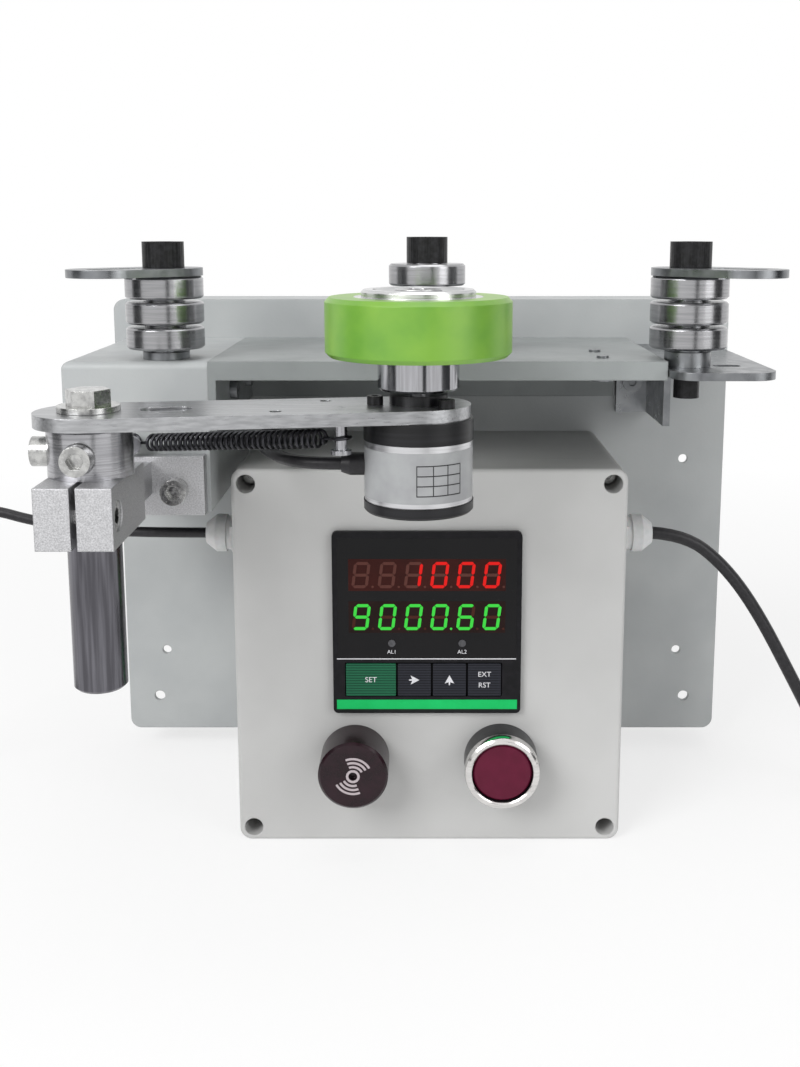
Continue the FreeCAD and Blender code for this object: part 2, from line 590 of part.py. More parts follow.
tools = [hollow, bar("guide_hole", "bearing_bore", "3 * shelf_sheet", "left_x", "guide_y", "shelf_low"),
         bar("post_hole", "post_stub", "2 * shelf_sheet", "fixed_post_x",
             "pedestal_front + shelf_sheet * 1.5", "fixed_post_z", TO_FRONT)]
BRACKET_SCREWS = ("pivot_x - bracket_pitch / 2", "pivot_x + bracket_pitch / 2")
for x in BRACKET_SCREWS:
    tools.append(bar("bracket_hole", "m6_shank", "3 * shelf_sheet", x, "pedestal_front + 2 * shelf_sheet",
                     "bracket_screw_z", TO_FRONT))
for x in PEDESTAL_SCREWS:
    tools.append(bar("rear_hole", "frame_shank", "3 * shelf_sheet", x, "box_back + shelf_sheet",
                     PEDESTAL_SCREW_Z, TO_FRONT))
for y in PEDESTAL_SIDE_SCREWS:
    tools.append(bar("side_hole", "frame_shank", "3 * shelf_sheet", "pedestal_right - 2 * shelf_sheet", y,
                     SKIRT_Z, TO_RIGHT))
node(cut("left_pedestal", bend, tools), "left_pedestal")

# the plate carries the right guide beside the shelf; two screws hold its tab under the shelf, and one
# holds its flange to the panel
body = new_body("plate_top")
place(body, "(plate_left + plate_end) / 2", "(plate_front + box_back) / 2", "plate_low")
sketch = new_sketch(body)
draw_rounded(sketch, "plate_end - plate_left", "box_back - plate_front", "plate_corner")
pad(body, sketch, "plate_thick")
parts = [body,
         block("plate_tab", "tab_left", "right_x", "tab_front", "tab_back", "plate_low", "shelf_low"),
         block("plate_flange", "gusset_left", "gusset_right", "box_back - plate_thick", "box_back",
               "gusset_low", "shelf_low"),
         block("plate_gusset", "gusset_right - plate_thick", "gusset_right", "gusset_front", "box_back",
               "gusset_low", "shelf_low")]
slot = new_body("plate_slot")
place(slot, "0", "0", "plate_low - 1")
sketch = new_sketch(slot)
SLOT_START = "right_x + spacer_radius + wing_slot + 1"
draw_slot(sketch, SLOT_START, SLOT_START + " + plate_slot", "guide_y", "wing_slot")
pad(slot, sketch, "2 * plate_thick")
tools = [slot, bar("guide_hole", "bearing_bore", "2 * plate_thick", "right_x", "guide_y", "plate_low - 1"),
         bar("flange_hole", "frame_shank", "3 * plate_thick", FLANGE_SCREW[0], "box_back + plate_thick",
             FLANGE_SCREW[1], TO_FRONT)]
for y in TAB_SCREWS:
    tools.append(bar("tab_hole", "frame_shank", "2 * plate_thick", "tab_screw_x", y, "plate_low - 1"))
node(cut("right_base_plate", fuse("plate_blank", parts), tools), "right_base_plate")

# ---- guide stacks

GUIDES = (("left", "left_x", "guide_y", "guide_washer"), ("middle", "guide_middle", "middle_y", "shim"),
          ("right", "right_x", "guide_y", "guide_washer"))
inner_rings, balls, spacers, screws, wings = [], [], [], [], []
for side, x, y, gap in GUIDES:
    for level, name in enumerate(("low", "mid", "top")):
        low = "guide_low + %d * (bearing_width + %s)" % (level, gap)
        face = "bearing_width - bearing_relief"
        profile = [("shield_bore", "bearing_relief"), ("bearing_radius - 0.8", "bearing_relief"),
                   ("bearing_radius", "bearing_relief + 0.8"), ("bearing_radius", face + " - 0.8"),
                   ("bearing_radius - 0.8", face), ("shield_bore", face),
                   ("shield_bore", face + " - 0.5"), ("race_outer", face + " - 0.5"),
                   ("race_outer", "bearing_relief + 0.5"), ("shield_bore", "bearing_relief + 0.5")]
        label = "%s_roller_%s" % (side, name)
        node(turned(label, profile, x, y, low), label)
        ring = cut("inner_ring", bar("ring_outer", "race_inner", "bearing_width", x, y, low),
                   [bar("ring_bore", "bearing_bore", "bearing_width", x, y, low)])
        inner_rings.append(ring)
        for step in range(8):
            ball = doc.addObject("Part::Sphere", "ball")
            bind(ball, "Radius", "ball_radius")
            place(ball, "%s + ball_pitch * cos(%d)" % (x, 45 * step),
                  "%s + ball_pitch * sin(%d)" % (y, 45 * step), low + " + bearing_width / 2")
            balls.append(ball)
    base = "shelf_low" if side == "right" else "shelf_top"
    rise = "guide_low - (%s)" % base
    profile = [("bearing_bore", "0"), ("spacer_radius", "0"), ("spacer_radius", rise + " - 1"),
               ("shim_radius", rise + " - 1"), ("shim_radius", rise), ("bearing_bore", rise)]
    spacers.append(turned(side + "_spacer", profile, x, y, base))
    for level in (1, 2):
        low = "guide_low + %d * bearing_width + %d * %s" % (level, level - 1, gap)
        shim = bar("shim_outer", "shim_radius", gap, x, y, low)
        spacers.append(cut("shim_ring", shim, [bar("shim_bore", "bearing_bore", gap, x, y, low)]))
    top = "middle_top" if side == "middle" else "side_top + wing_thick"
    reach = "%s - (shelf_low - screw_tail)" % top
    screws.append(socket_screw(side + "_screw", "screw_head", "screw_head_tall", "bearing_bore", reach,
                               "screw_socket", x, y, top, UP))
    if side != "middle":
        outward = 180 + SIZES["wing_yaw"] if side == "left" else -SIZES["wing_yaw"]
        turn_text = "180 + wing_yaw" if side == "left" else "-wing_yaw"
        wing = new_body(side + "_wing")
        place(wing, x, y, "side_top", FreeCAD.Rotation(FreeCAD.Vector(0, 0, 1), outward))
        bind(wing, ".Placement.Rotation.Angle", "(%s) * 1 deg" % turn_text)
        sketch = new_sketch(wing)
        draw_slot(sketch, "0", "wing_reach", "0", "wing_radius")
        pad(wing, sketch, "wing_thick")
        sketch = new_sketch(wing, lift="wing_thick")
        draw_circles(sketch, [("0", "0", "bearing_bore")])
        draw_slot(sketch, "bearing_bore + wing_slot + 5", "wing_reach + wing_radius / 3", "0", "wing_slot")
        pocket(wing, sketch, "wing_thick")
        wings.append(wing)
node(group("guide_inner_rings", inner_rings), "guide_inner_rings")
node(group("guide_balls", balls), "guide_balls")
node(group("guide_spacers", spacers), "guide_spacers")
node(group("guide_screws", screws), "guide_screws")
node(group("guide_wing_plates", wings), "guide_wing_plates")

# ---- screws of the frame

FRAME = ("frame_head", "frame_head_tall", "frame_shank", "frame_length", "1.8")
screws = []
for x, z in BOX_SCREWS:
    screws.append(socket_screw("box_screw", *FRAME, x, "box_back - box_wall", z, TO_FRONT))
for x in PEDESTAL_SCREWS:
    screws.append(socket_screw("rear_screw", *FRAME, x, "box_back - shelf_sheet", PEDESTAL_SCREW_Z, TO_FRONT))
for x in SKIRT_SCREWS:
    screws.append(socket_screw("skirt_screw", *FRAME, x, "box_back - shelf_sheet", SKIRT_Z, TO_FRONT))
for y in PEDESTAL_SIDE_SCREWS:
    screws.append(socket_screw("side_screw", *FRAME, "pedestal_right + shelf_sheet", y, SKIRT_Z, TO_RIGHT))
for y in TAB_SCREWS:
    screws.append(socket_screw("tab_screw", *FRAME, "tab_screw_x", y, "plate_low", DOWN))
screws.append(socket_screw("flange_screw", *FRAME, FLANGE_SCREW[0], "box_back - plate_thick",
                           FLANGE_SCREW[1], TO_FRONT))
node(group("frame_screws", screws), "frame_screws")

# ---- pivot of the swing arm

half = "clamp_width / 2"
parts = [
    block("clamp_body", "pivot_x - " + half, "pivot_x + " + half, "clamp_front", "clamp_back", "clamp_low",
          "clamp_top"),
    block("clamp_neck", "pivot_x - neck_width / 2", "pivot_x + neck_width / 2", "clamp_back",
          "flange_front", "clamp_low", "clamp_low + neck_tall"),
    block("clamp_flange", "pivot_x - flange_width / 2", "pivot_x + flange_width / 2", "flange_front",
          "pedestal_front", "flange_low", "flange_low + flange_tall"),
]
HEAD_SEAT = "pivot_x + clamp_width / 2 - m6_head_tall - 0.5"
tools = [
    bar("rod_hole", "rod_radius", "clamp_tall + 2", "pivot_x", "pivot_y", "clamp_low - 1"),
    block("slit", "pivot_x - clamp_slit / 2", "pivot_x + clamp_slit / 2", "clamp_front - 1", "pivot_y",
          "clamp_low - 1", "clamp_top + 1"),
    bar("clamp_counterbore", "m6_head + 0.2", "m6_head_tall + 2", HEAD_SEAT, "clamp_screw_y",
        "clamp_screw_z", TO_RIGHT),
    bar("clamp_screw_hole", "m6_shank", "clamp_width - 8", HEAD_SEAT, "clamp_screw_y", "clamp_screw_z",
        TO_LEFT),
]
for x in BRACKET_SCREWS:
    tools.append(bar("flange_hole", "m6_shank", "2 * flange_thick", x, "pedestal_front + 1",
                     "bracket_screw_z", TO_FRONT))
node(cut("rod_clamp", fuse("clamp_blank", parts), tools), "rod_clamp")

profile = [("0", "0"), ("rod_radius - 1", "0"), ("rod_radius", "1"), ("rod_radius", "rod_length"),
           ("bolt_radius", "rod_length"), ("bolt_radius", "rod_length - bolt_length"),
           ("0", "rod_length - bolt_length")]
node(turned("pivot_rod", profile, "pivot_x", "pivot_y", "rod_top - rod_length"), "pivot_rod")

profile = [("rod_radius", "0"), ("hub_radius", "0"), ("hub_radius", "hub_tall - 1"),
           ("hub_radius - 1", "hub_tall"), ("bolt_radius", "hub_tall"), ("bolt_radius", "hub_tall - hub_cap"),
           ("rod_radius", "hub_tall - hub_cap")]
hub = turned("hub_ring", profile, "pivot_x", "pivot_y", "clamp_top")
HUB_FLAT = "hub_radius - 1"
tools = [
    bar("front_spot", "m6_head + 0.2", "m6_head_tall", "pivot_x", "pivot_y - (%s)" % HUB_FLAT,
        "hub_screw_z", TO_FRONT),
    bar("front_hole", "m6_shank", "hub_radius", "pivot_x", "pivot_y", "hub_screw_z", TO_FRONT),
    bar("left_spot", "m6_head + 0.2", "m6_head_tall", "pivot_x - (%s)" % HUB_FLAT, "pivot_y",
        "hub_screw_z", TO_LEFT),
    bar("left_hole", "m6_shank", "hub_radius", "pivot_x", "pivot_y", "hub_screw_z", TO_LEFT),
]
node(cut("pivot_hub", hub, tools), "pivot_hub")

M6 = ("m6_head", "m6_head_tall", "m6_shank")
screws = [
    socket_screw("hub_front_screw", *M6, HUB_FLAT + " - rod_radius - 0.2", "m6_socket", "pivot_x",
                 "pivot_y - (%s)" % HUB_FLAT, "hub_screw_z", TO_FRONT),
    socket_screw("hub_left_screw", *M6, HUB_FLAT + " - rod_radius - 0.2", "m6_socket",
                 "pivot_x - (%s)" % HUB_FLAT, "pivot_y", "hub_screw_z", TO_LEFT),
    socket_screw("clamp_screw", *M6, "clamp_width - 8", "m6_socket", HEAD_SEAT, "clamp_screw_y",
                 "clamp_screw_z", TO_RIGHT),
]
for x in BRACKET_SCREWS:
    screws.append(socket_screw("bracket_screw", *M6, "flange_thick + shelf_sheet + 4", "m6_socket", x,
                               "flange_front", "bracket_screw_z", TO_FRONT))
node(group("m6_socket_screws", screws), "m6_socket_screws")

washer = bar("washer_disc", "washer_radius", "washer_thick", "pivot_x", "pivot_y", "washer_low")
bore = bar("washer_bore", "bolt_radius + 0.2", "washer_thick", "pivot_x", "pivot_y", "washer_low")
node(cut("pivot_washer", washer, [bore]), "pivot_washer")
shank = bar("bolt_shank", "bolt_radius", "head_low - rod_top + bolt_length - 2", "pivot_x", "pivot_y",
            "rod_top - bolt_length + 2")
head = hexagon("bolt_head", "bolt_hex", "bolt_head_tall", "pivot_x", "pivot_y", "head_low")
node(fuse("pivot_bolt", [shank, head]), "pivot_bolt")
bush = bar("bush_ring", "bush_radius", "arm_thick", "pivot_x", "pivot_y", "arm_low")
bore = bar("bush_bore", "bolt_radius + bush_clear", "arm_thick", "pivot_x", "pivot_y", "arm_low")
node(cut("pivot_bush", bush, [bore]), "pivot_bush")

# ---- swing arm and encoder

def on_arm(u, v):
    """A point of the arm, u along it from the pivot and v across it."""
    return ("pivot_x + (%s) * cos(arm_yaw) - (%s) * sin(arm_yaw)" % (u, v),
            "pivot_y + (%s) * sin(arm_yaw) + (%s) * cos(arm_yaw)" % (u, v))


body = new_body("swing_arm")
place(body, "pivot_x", "pivot_y", "arm_low", FreeCAD.Rotation(FreeCAD.Vector(0, 0, 1), SIZES["arm_yaw"]))
bind(body, ".Placement.Rotation.Angle", "arm_yaw * 1 deg")
sketch = new_sketch(body)
draw_slot(sketch, "0", "arm_length", "0", "arm_radius")
pad(body, sketch, "arm_thick")
sketch = new_sketch(body, lift="arm_thick")
M3_SPOTS = [("arm_length + m3_pitch * cos(%d)" % a, "m3_pitch * sin(%d)" % a) for a in (60, 180, 300)]
draw_circles(sketch, [("0", "0", "bush_radius"), ("arm_length", "0", "encoder_boss"),
                      ("arm_post_x", "arm_post_y", "post_stub"), ("arm_post_x - 4", "arm_radius * 0.6", "2"),
                      ("arm_post_x - 22", "-arm_radius * 0.6", "2")])
draw_circles(sketch, [(x, y, "m3_shank") for x, y in M3_SPOTS])
draw_slot(sketch, "arm_slot_x", "arm_slot_x + arm_slot_length", "0", "arm_slot_radius")
pocket(body, sketch, "arm_thick")
sketch = new_sketch(body, lift="arm_thick")
draw_slot(sketch, "arm_slot_x", "arm_slot_x + arm_slot_length", "0", "arm_slot_radius + 1.6")
pocket(body, sketch, "arm_thick / 3")
node(body, "swing_arm")

BORE = "shaft_radius + shaft_clear"
RISE = "encoder_flange_tall + encoder_boss_tall"
profile = [(BORE, "0"), ("encoder_flange_radius", "0"), ("encoder_flange_radius", "encoder_flange_tall"),
           ("encoder_boss", "encoder_flange_tall"), ("encoder_boss", RISE), (BORE, RISE)]
flange = turned("flange_ring", profile, "wheel_x", "wheel_y", "flange_bottom")
tools, screws = [], []
for x, y in M3_SPOTS:
    wx, wy = on_arm(x, y)
    tools.append(bar("m3_hole", "m3_shank", "5.5", wx, wy, "arm_low - 5.5"))
    screws.append(socket_screw("m3_screw", "m3_head", "m3_head_tall", "m3_shank", "arm_thick + 5", "1.4",
                               wx, wy, "arm_top", UP))
node(cut("encoder_flange", flange, tools), "encoder_flange")
node(group("encoder_screws", screws), "encoder_screws")

tube = cut("encoder_tube", bar("tube_outer", "encoder_body_radius", "encoder_body_tall", "wheel_x",
                               "wheel_y", "encoder_bottom"),
           [bar("tube_inner", "encoder_body_radius - encoder_wall", "encoder_body_tall", "wheel_x",
                "wheel_y", "encoder_bottom")])
LEAD_Z = "(encoder_bottom + encoder_body_tall * 0.57)"
hole = bar("lead_hole", "gland_stub", "encoder_body_radius + 2", "wheel_x", "wheel_y", LEAD_Z, TO_LEFT)
node(cut("encoder_body", tube, [hole]), "encoder_body")
profile = [("0", "-encoder_cap_tall"), ("encoder_flange_radius - 0.8", "-encoder_cap_tall"),
           ("encoder_flange_radius", "0.8 - encoder_cap_tall"), ("encoder_flange_radius", "0"),
           ("encoder_body_radius - encoder_wall", "0"), ("encoder_body_radius - encoder_wall", "2.5"),
           ("0", "2.5")]
node(turned("encoder_cap", profile, "wheel_x", "wheel_y", "encoder_bottom"), "encoder_cap")
STUB = "encoder_body_radius + gland_stub_reach"
profile = [("0", "encoder_body_radius - 2.5"), ("gland_stub", "encoder_body_radius - 2.5"),
           ("gland_stub", STUB + " - 3"), ("gland_stub - 1", STUB), ("0", STUB)]
node(turned("encoder_gland", profile, "wheel_x", "wheel_y", LEAD_Z, TO_LEFT), "encoder_gland")

# ---- measuring wheel

LIP = "tyre_width + wheel_lip_tall"
profile = [("shaft_radius", "0"), ("tyre_inner", "0"), ("tyre_inner", "tyre_width"),
           ("wheel_lip", "tyre_width"), ("wheel_lip", LIP + " - 0.8"), ("wheel_lip - 0.8", LIP),
           ("wheel_lip - 4", LIP), ("wheel_lip - 5", LIP + " - 1.5"), ("shaft_radius + 4", LIP + " - 1.5"),
           ("shaft_radius + 4", LIP), ("shaft_radius", LIP)]
node(turned("wheel_hub", profile, "wheel_x", "wheel_y", "tyre_low"), "wheel_hub")
profile = [("tyre_inner", "0"), ("tyre_radius - tyre_edge", "0"), ("tyre_radius", "tyre_edge"),
           ("tyre_radius", "tyre_width - tyre_edge"), ("tyre_radius - tyre_edge", "tyre_width"),
           ("tyre_inner", "tyre_width")]
node(turned("wheel_tyre", profile, "wheel_x", "wheel_y", "tyre_low"), "wheel_tyre")
COLLAR_LOW = "boss_top + collar_gap"
COLLAR_TALL = "tyre_low - (%s)" % COLLAR_LOW
profile = [("shaft_radius", "0"), ("collar_radius - 0.8", "0"), ("collar_radius", "0.8"),
           ("collar_radius", COLLAR_TALL), ("shaft_radius", COLLAR_TALL)]
node(turned("wheel_collar", profile, "wheel_x", "wheel_y", COLLAR_LOW), "wheel_collar")
SHAFT_LOW = "flange_bottom - shaft_below"
shaft = bar("encoder_shaft", "shaft_radius", "hub_lip - shaft_top - (%s)" % SHAFT_LOW, "wheel_x", "wheel_y",
            SHAFT_LOW)
node(shaft, "encoder_shaft")

# ---- tension spring and its two posts

profile = [("0", "-shelf_sheet"), ("post_stub", "-shelf_sheet"), ("post_stub", "0"), ("post_radius", "0"),
           ("post_radius", "post_length"), ("post_head", "post_length"), ("post_head", "post_length + 1.5"),
           ("0", "post_length + 1.5")]
node(turned("fixed_spring_post", profile, "fixed_post_x", "pedestal_front", "fixed_post_z", TO_FRONT),
     "fixed_spring_post")
HANG = "arm_post_drop + post_length / 2"
profile = [("0", "-arm_thick"), ("post_stub", "-arm_thick"), ("post_stub", "0"), ("post_radius", "0"),
           ("post_radius", HANG), ("post_head", HANG), ("post_head", HANG + " + 1.5"), ("0", HANG + " + 1.5")]
hook_x, hook_y = on_arm("arm_post_x", "arm_post_y")
node(turned("arm_spring_post", profile, hook_x, hook_y, "arm_low", DOWN), "arm_spring_post")

start = FreeCAD.Vector(number("fixed_post_x"), number("fixed_post_y"), number("fixed_post_z"))
end = FreeCAD.Vector(number(hook_x), number(hook_y), number("arm_post_z"))
SPAN = "sqrt((%s - fixed_post_x) ^ 2 + (%s - fixed_post_y) ^ 2 + (arm_post_z - fixed_post_z) ^ 2)" % (
    "(%s)" % hook_x, "(%s)" % hook_y)
RIBS = 34
COIL_SPAN = "(%s - 2 * spring_reach)" % SPAN
profile = [("0", "spring_eye"), ("spring_wire", "spring_eye"), ("spring_wire", "spring_reach")]
for i in range(RIBS):
    for share, radius in ((0, "spring_root"), (0.5, "spring_radius")):
        profile.append((radius, "spring_reach + %s * %.5f" % (COIL_SPAN, (i + share) / RIBS)))
STOP = "spring_reach + " + COIL_SPAN
profile += [("spring_root", STOP), ("spring_wire", STOP), ("spring_wire", SPAN + " - spring_eye"),
            ("0", SPAN + " - spring_eye")]
pull = (end - start).normalize()
level = pull.cross(FreeCAD.Vector(0, 0, 1)).normalize()
lean = FreeCAD.Rotation(FreeCAD.Vector(0, 0, 1), pull)
parts = [turned("spring_wire_turns", profile, "fixed_post_x", "fixed_post_y", "fixed_post_z", lean)]
for at, across in ((("fixed_post_x", "fixed_post_y", "fixed_post_z"), level),
                   ((hook_x, hook_y, "arm_post_z"), level.cross(pull))):
    eye = doc.addObject("Part::Torus", "spring_eye")
    bind(eye, "Radius1", "spring_eye")
    bind(eye, "Radius2", "spring_wire")
    parts.append(place(eye, *at, FreeCAD.Rotation(FreeCAD.Vector(0, 0, 1), across)))
node(fuse("arm_spring", parts), "arm_spring")

# ---- cords

def tube(name, radius, points):
    """A round cord along straight runs joined by tangent arcs as wide as the runs allow."""
    edges, radii = [], []
    at = points[0]
    for before, corner, after in zip(points, points[1:], points[2:]):
        into, out = corner - before, after - corner
        turn = into.getAngle(out)
        reach = 0.45 * min(into.Length, out.Length)
        radii.append(reach / math.tan(turn / 2))
        a = corner - into.normalize() * reach
        b = corner + out.normalize() * reach
        lean_out = (b - corner) + (a - corner)
        sagitta = radii[-1] / math.cos(turn / 2) - radii[-1]
        middle = corner + lean_out.normalize() * sagitta
        edges += [Part.LineSegment(at, a).toShape(), Part.Arc(a, middle, b).toShape()]
        at = b
    edges.append(Part.LineSegment(at, points[-1]).toShape())
    path = Part.Wire(edges)
    heading = points[1] - points[0]
    ring = Part.Wire(Part.makeCircle(radius, points[0], heading))
    solid = path.makePipeShell([ring], True, False, 1)
    length = path.Length
    error = solid.Volume / (math.pi * radius ** 2 * length) - 1
    print("%s: %.0f mm long, least radius %.1f, volume error %.5f" % (name, length, min(radii), error))
    thing = doc.addObject("Part::Feature", name + "_stretch")
    thing.Shape = solid
    return thing


def cord(name, radius, *stretches):
    tubes = [tube(name, number(radius), route(*points)) for points in stretches]
    return node(group(name, tubes) if len(tubes) > 1 else tubes[0], name)


def route(*points):
    return [FreeCAD.Vector(*[number(text) for text in point]) for point in points]


stub_end = "wheel_x - (%s)" % STUB
cord("encoder_lead", "encoder_lead_radius", (
    (stub_end, "wheel_y", LEAD_Z), (stub_end + " - 14", "wheel_y", LEAD_Z),
    (stub_end + " - 26", "wheel_y + 16", LEAD_Z), ("grommet_x - 5", "wheel_y + 42", LEAD_Z),
    ("grommet_x - 4", "wheel_y + 72", LEAD_Z + " + 0.5"), ("grommet_x - 0.5", "wheel_y + 100", LEAD_Z),
    ("grommet_x", "box_back - 27", "grommet_z + 2.5"), ("grommet_x", "box_back - 14", "grommet_z"),
    ("grommet_x", "box_back - 2", "grommet_z")))

# each lead meets its coil's outer turn at the back, and its tail leaves the coil's outer side to the front
tip = "box_width / 2 + gland_length"
POWER_END = "box_width / 2 + 153"
FLOOR = "power_lead_radius"
POWER_TURN = "(power_coil_radius + (coil_rows - 1) * power_lead_radius)"
MEET = "sqrt((%s + %s) ^ 2 - %s ^ 2)"
POWER_MEET = MEET % (POWER_TURN, FLOOR, POWER_TURN)
POWER_X = "(%s + %s)" % (POWER_END, POWER_MEET)
PLUG_X = "(%s + %s)" % (POWER_X, POWER_TURN)
PLUG_Y = "(-%s - 24)" % POWER_TURN
cord("power_lead", "power_lead_radius", (
    (tip, "0", "gland_z"), (tip + " + 15", "0", "gland_z - 1"), (tip + " + 32", "0.5", "gland_z - 14"),
    (tip + " + 48", "1", "gland_z - 35"), (tip + " + 67", "0.5", "gland_z - 70"),
    (tip + " + 79", "0", "gland_z - 93"), (tip + " + 93", "0", "(gland_z - 93) * 0.33"),
    (tip + " + 114", "0", FLOOR), (POWER_END, "0", FLOOR)), (
    (PLUG_X, "-%s - %s" % (POWER_TURN, POWER_MEET), "3 * " + FLOOR),
    (PLUG_X, PLUG_Y + " + 4", "2.6 * " + FLOOR), (PLUG_X, PLUG_Y, "plug_thick / 2")))

OUTPUT_END = "-box_width / 2 - 213"
FLOOR = "output_lead_radius"
OUTPUT_TURN = "(output_coil_radius + (coil_rows - 1) * output_lead_radius)"
OUTPUT_MEET = MEET % (OUTPUT_TURN, FLOOR, OUTPUT_TURN)
OUTPUT_X = "(%s - %s)" % (OUTPUT_END, OUTPUT_MEET)
JACK_X = "(%s - %s)" % (OUTPUT_X, OUTPUT_TURN)
JACK_Y = "(-%s - 20)" % OUTPUT_TURN
cord("output_lead", "output_lead_radius", (
    ("-(%s)" % tip, "0", "gland_z"), ("-(%s) - 21" % tip, "0", "gland_z"),
    ("-(%s) - 49" % tip, "0", "gland_z + 1"), ("-(%s) - 76.5" % tip, "0", "gland_z + 5.3"),
    ("-(%s) - 93" % tip, "0", "gland_z + 10.3"), ("-(%s) - 111" % tip, "0", "gland_z + 10.5"),
    ("-(%s) - 127" % tip, "0", "gland_z + 0.5"), ("-(%s) - 137" % tip, "0", "gland_z - 20.5"),
    ("-(%s) - 143" % tip, "0", "gland_z - 50.5"), ("-(%s) - 148" % tip, "0", "gland_z - 80.5"),
    ("-(%s) - 157" % tip, "0", "(gland_z - 80.5) * 0.42"), ("-(%s) - 175" % tip, "0", FLOOR),
    (OUTPUT_END, "0", FLOOR)), (
    (JACK_X, "-%s - %s" % (OUTPUT_TURN, OUTPUT_MEET), "3 * " + FLOOR),
    (JACK_X, JACK_Y + " + 3", "2.95 * " + FLOOR), (JACK_X, JACK_Y, "connector_radius")))

profile = [("0", "0"), ("grommet_radius", "0"), ("grommet_radius", "2"), ("grommet_groove", "2"),
           ("grommet_groove", "2 + panel_sheet"), ("grommet_radius", "2 + panel_sheet"),
           ("grommet_radius", "4 + panel_sheet"), ("0", "4 + panel_sheet")]
node(turned("panel_grommet", profile, "grommet_x", "box_back - 2", "grommet_z", TO_BACK), "panel_grommet")


def coil(name, middle, radius, x, y):
    """The outer shape of a lead wound into a ring: rows side by side in layers."""
    inner = "%s - coil_rows * %s" % (middle, radius)
    outer = "%s + coil_rows * %s" % (middle, radius)
    tall = "2 * coil_layers * %s" % radius
    edge = "0.6 * " + radius
    profile = [(inner + " + " + edge, "0"), (outer + " - " + edge, "0"), (outer, edge),
               (outer, tall + " - " + edge), (outer + " - " + edge, tall), (inner + " + " + edge, tall),
               (inner, tall + " - " + edge), (inner, edge)]
    node(turned(name, profile, x, y, "0"), name)


coil("power_lead_coil", "power_coil_radius", "power_lead_radius", POWER_X, "-" + POWER_TURN)
coil("output_lead_coil", "output_coil_radius", "output_lead_radius", OUTPUT_X, "-" + OUTPUT_TURN)

NOSE = PLUG_Y + " - relief_length - plug_length"
relief = bar("plug_relief", "power_lead_radius * 1.3", "relief_length + 2", PLUG_X, PLUG_Y, "plug_thick / 2",
             TO_FRONT)
moulding = block("plug_moulding", PLUG_X + " - plug_width / 2", PLUG_X + " + plug_width / 2", NOSE,
                 PLUG_Y + " - relief_length", "0", "plug_thick")
rounded = doc.addObject("Part::Fillet", "plug_rounding")
rounded.Base = moulding
rounded.Edges = [(i, 3.0, 3.0) for i in range(1, 13)]
pins = []
for side in (-1, 1):
    pins.append(bar("plug_pin", "pin_radius", "pin_length + 5", "%s + %d * pin_pitch / 2" % (PLUG_X, side),
                    NOSE + " + 5", "plug_thick / 2", TO_FRONT))
node(fuse("power_plug", [relief, rounded] + pins), "power_plug")

reach = "relief_length + connector_length"
profile = [("0", "0"), ("output_lead_radius * 1.07", "0"),
           ("output_lead_radius * 1.07", "relief_length * 0.6"),
           ("connector_radius - 1.5", "relief_length"), ("connector_radius", "relief_length"),
           ("connector_radius", reach + " - 12"), ("connector_radius - 0.8", reach + " - 12"),
           ("connector_radius - 0.8", reach), ("connector_radius - 2", reach),
           ("connector_radius - 2", reach + " - 6"), ("0", reach + " - 6")]
node(turned("output_connector", profile, JACK_X, JACK_Y, "connector_radius", TO_FRONT), "output_connector")

# ---- check and write

doc.recompute()
for thing in doc.Objects:
    if "Invalid" in thing.State or "Error" in thing.State:
        raise RuntimeError("%s failed: %s" % (thing.Name, thing.State))
labels = {thing.Label for thing in NODES}
if len(labels) != len(NODES) or len(NODES) > 60 or any(label[-3:].isdigit() for label in labels):
    raise RuntimeError("the nodes need 60 or fewer names of their own")
for thing in NODES:
    if thing.Shape.isNull() or not thing.Shape.isValid() or not thing.Shape.Solids:
        raise RuntimeError(thing.Label + " has no valid shape")
os.makedirs("parts", exist_ok=True)
for thing in NODES:
    thing.Shape.exportStep("parts/%s.step" % thing.Label)
print("%d sub-parts written" % len(NODES))
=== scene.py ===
import math

import bmesh
import bpy
from mathutils import Matrix, Vector


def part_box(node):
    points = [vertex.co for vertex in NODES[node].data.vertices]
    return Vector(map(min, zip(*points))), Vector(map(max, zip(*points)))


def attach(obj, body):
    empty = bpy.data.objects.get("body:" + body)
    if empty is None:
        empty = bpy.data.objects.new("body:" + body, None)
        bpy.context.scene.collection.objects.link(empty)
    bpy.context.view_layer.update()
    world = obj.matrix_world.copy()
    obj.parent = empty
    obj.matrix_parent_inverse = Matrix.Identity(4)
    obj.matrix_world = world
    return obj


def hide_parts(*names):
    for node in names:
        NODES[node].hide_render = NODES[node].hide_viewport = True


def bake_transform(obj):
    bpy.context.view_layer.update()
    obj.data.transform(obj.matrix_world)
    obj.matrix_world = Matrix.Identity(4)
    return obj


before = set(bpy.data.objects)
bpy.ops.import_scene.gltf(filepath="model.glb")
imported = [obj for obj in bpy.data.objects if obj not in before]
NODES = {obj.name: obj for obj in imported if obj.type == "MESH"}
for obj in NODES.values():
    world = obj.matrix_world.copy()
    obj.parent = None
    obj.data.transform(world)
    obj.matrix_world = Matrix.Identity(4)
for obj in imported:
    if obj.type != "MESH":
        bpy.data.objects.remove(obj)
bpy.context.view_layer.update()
MM = 0.001


def mm(x, y, z):
    return Vector((x, y, z)) * MM


# ---- camera

PICTURE_WIDE = 800
LENS_SHIFT = (-25, -105.5)  # pixels of the picture
LOOKS_DOWN = 9.63  # degrees

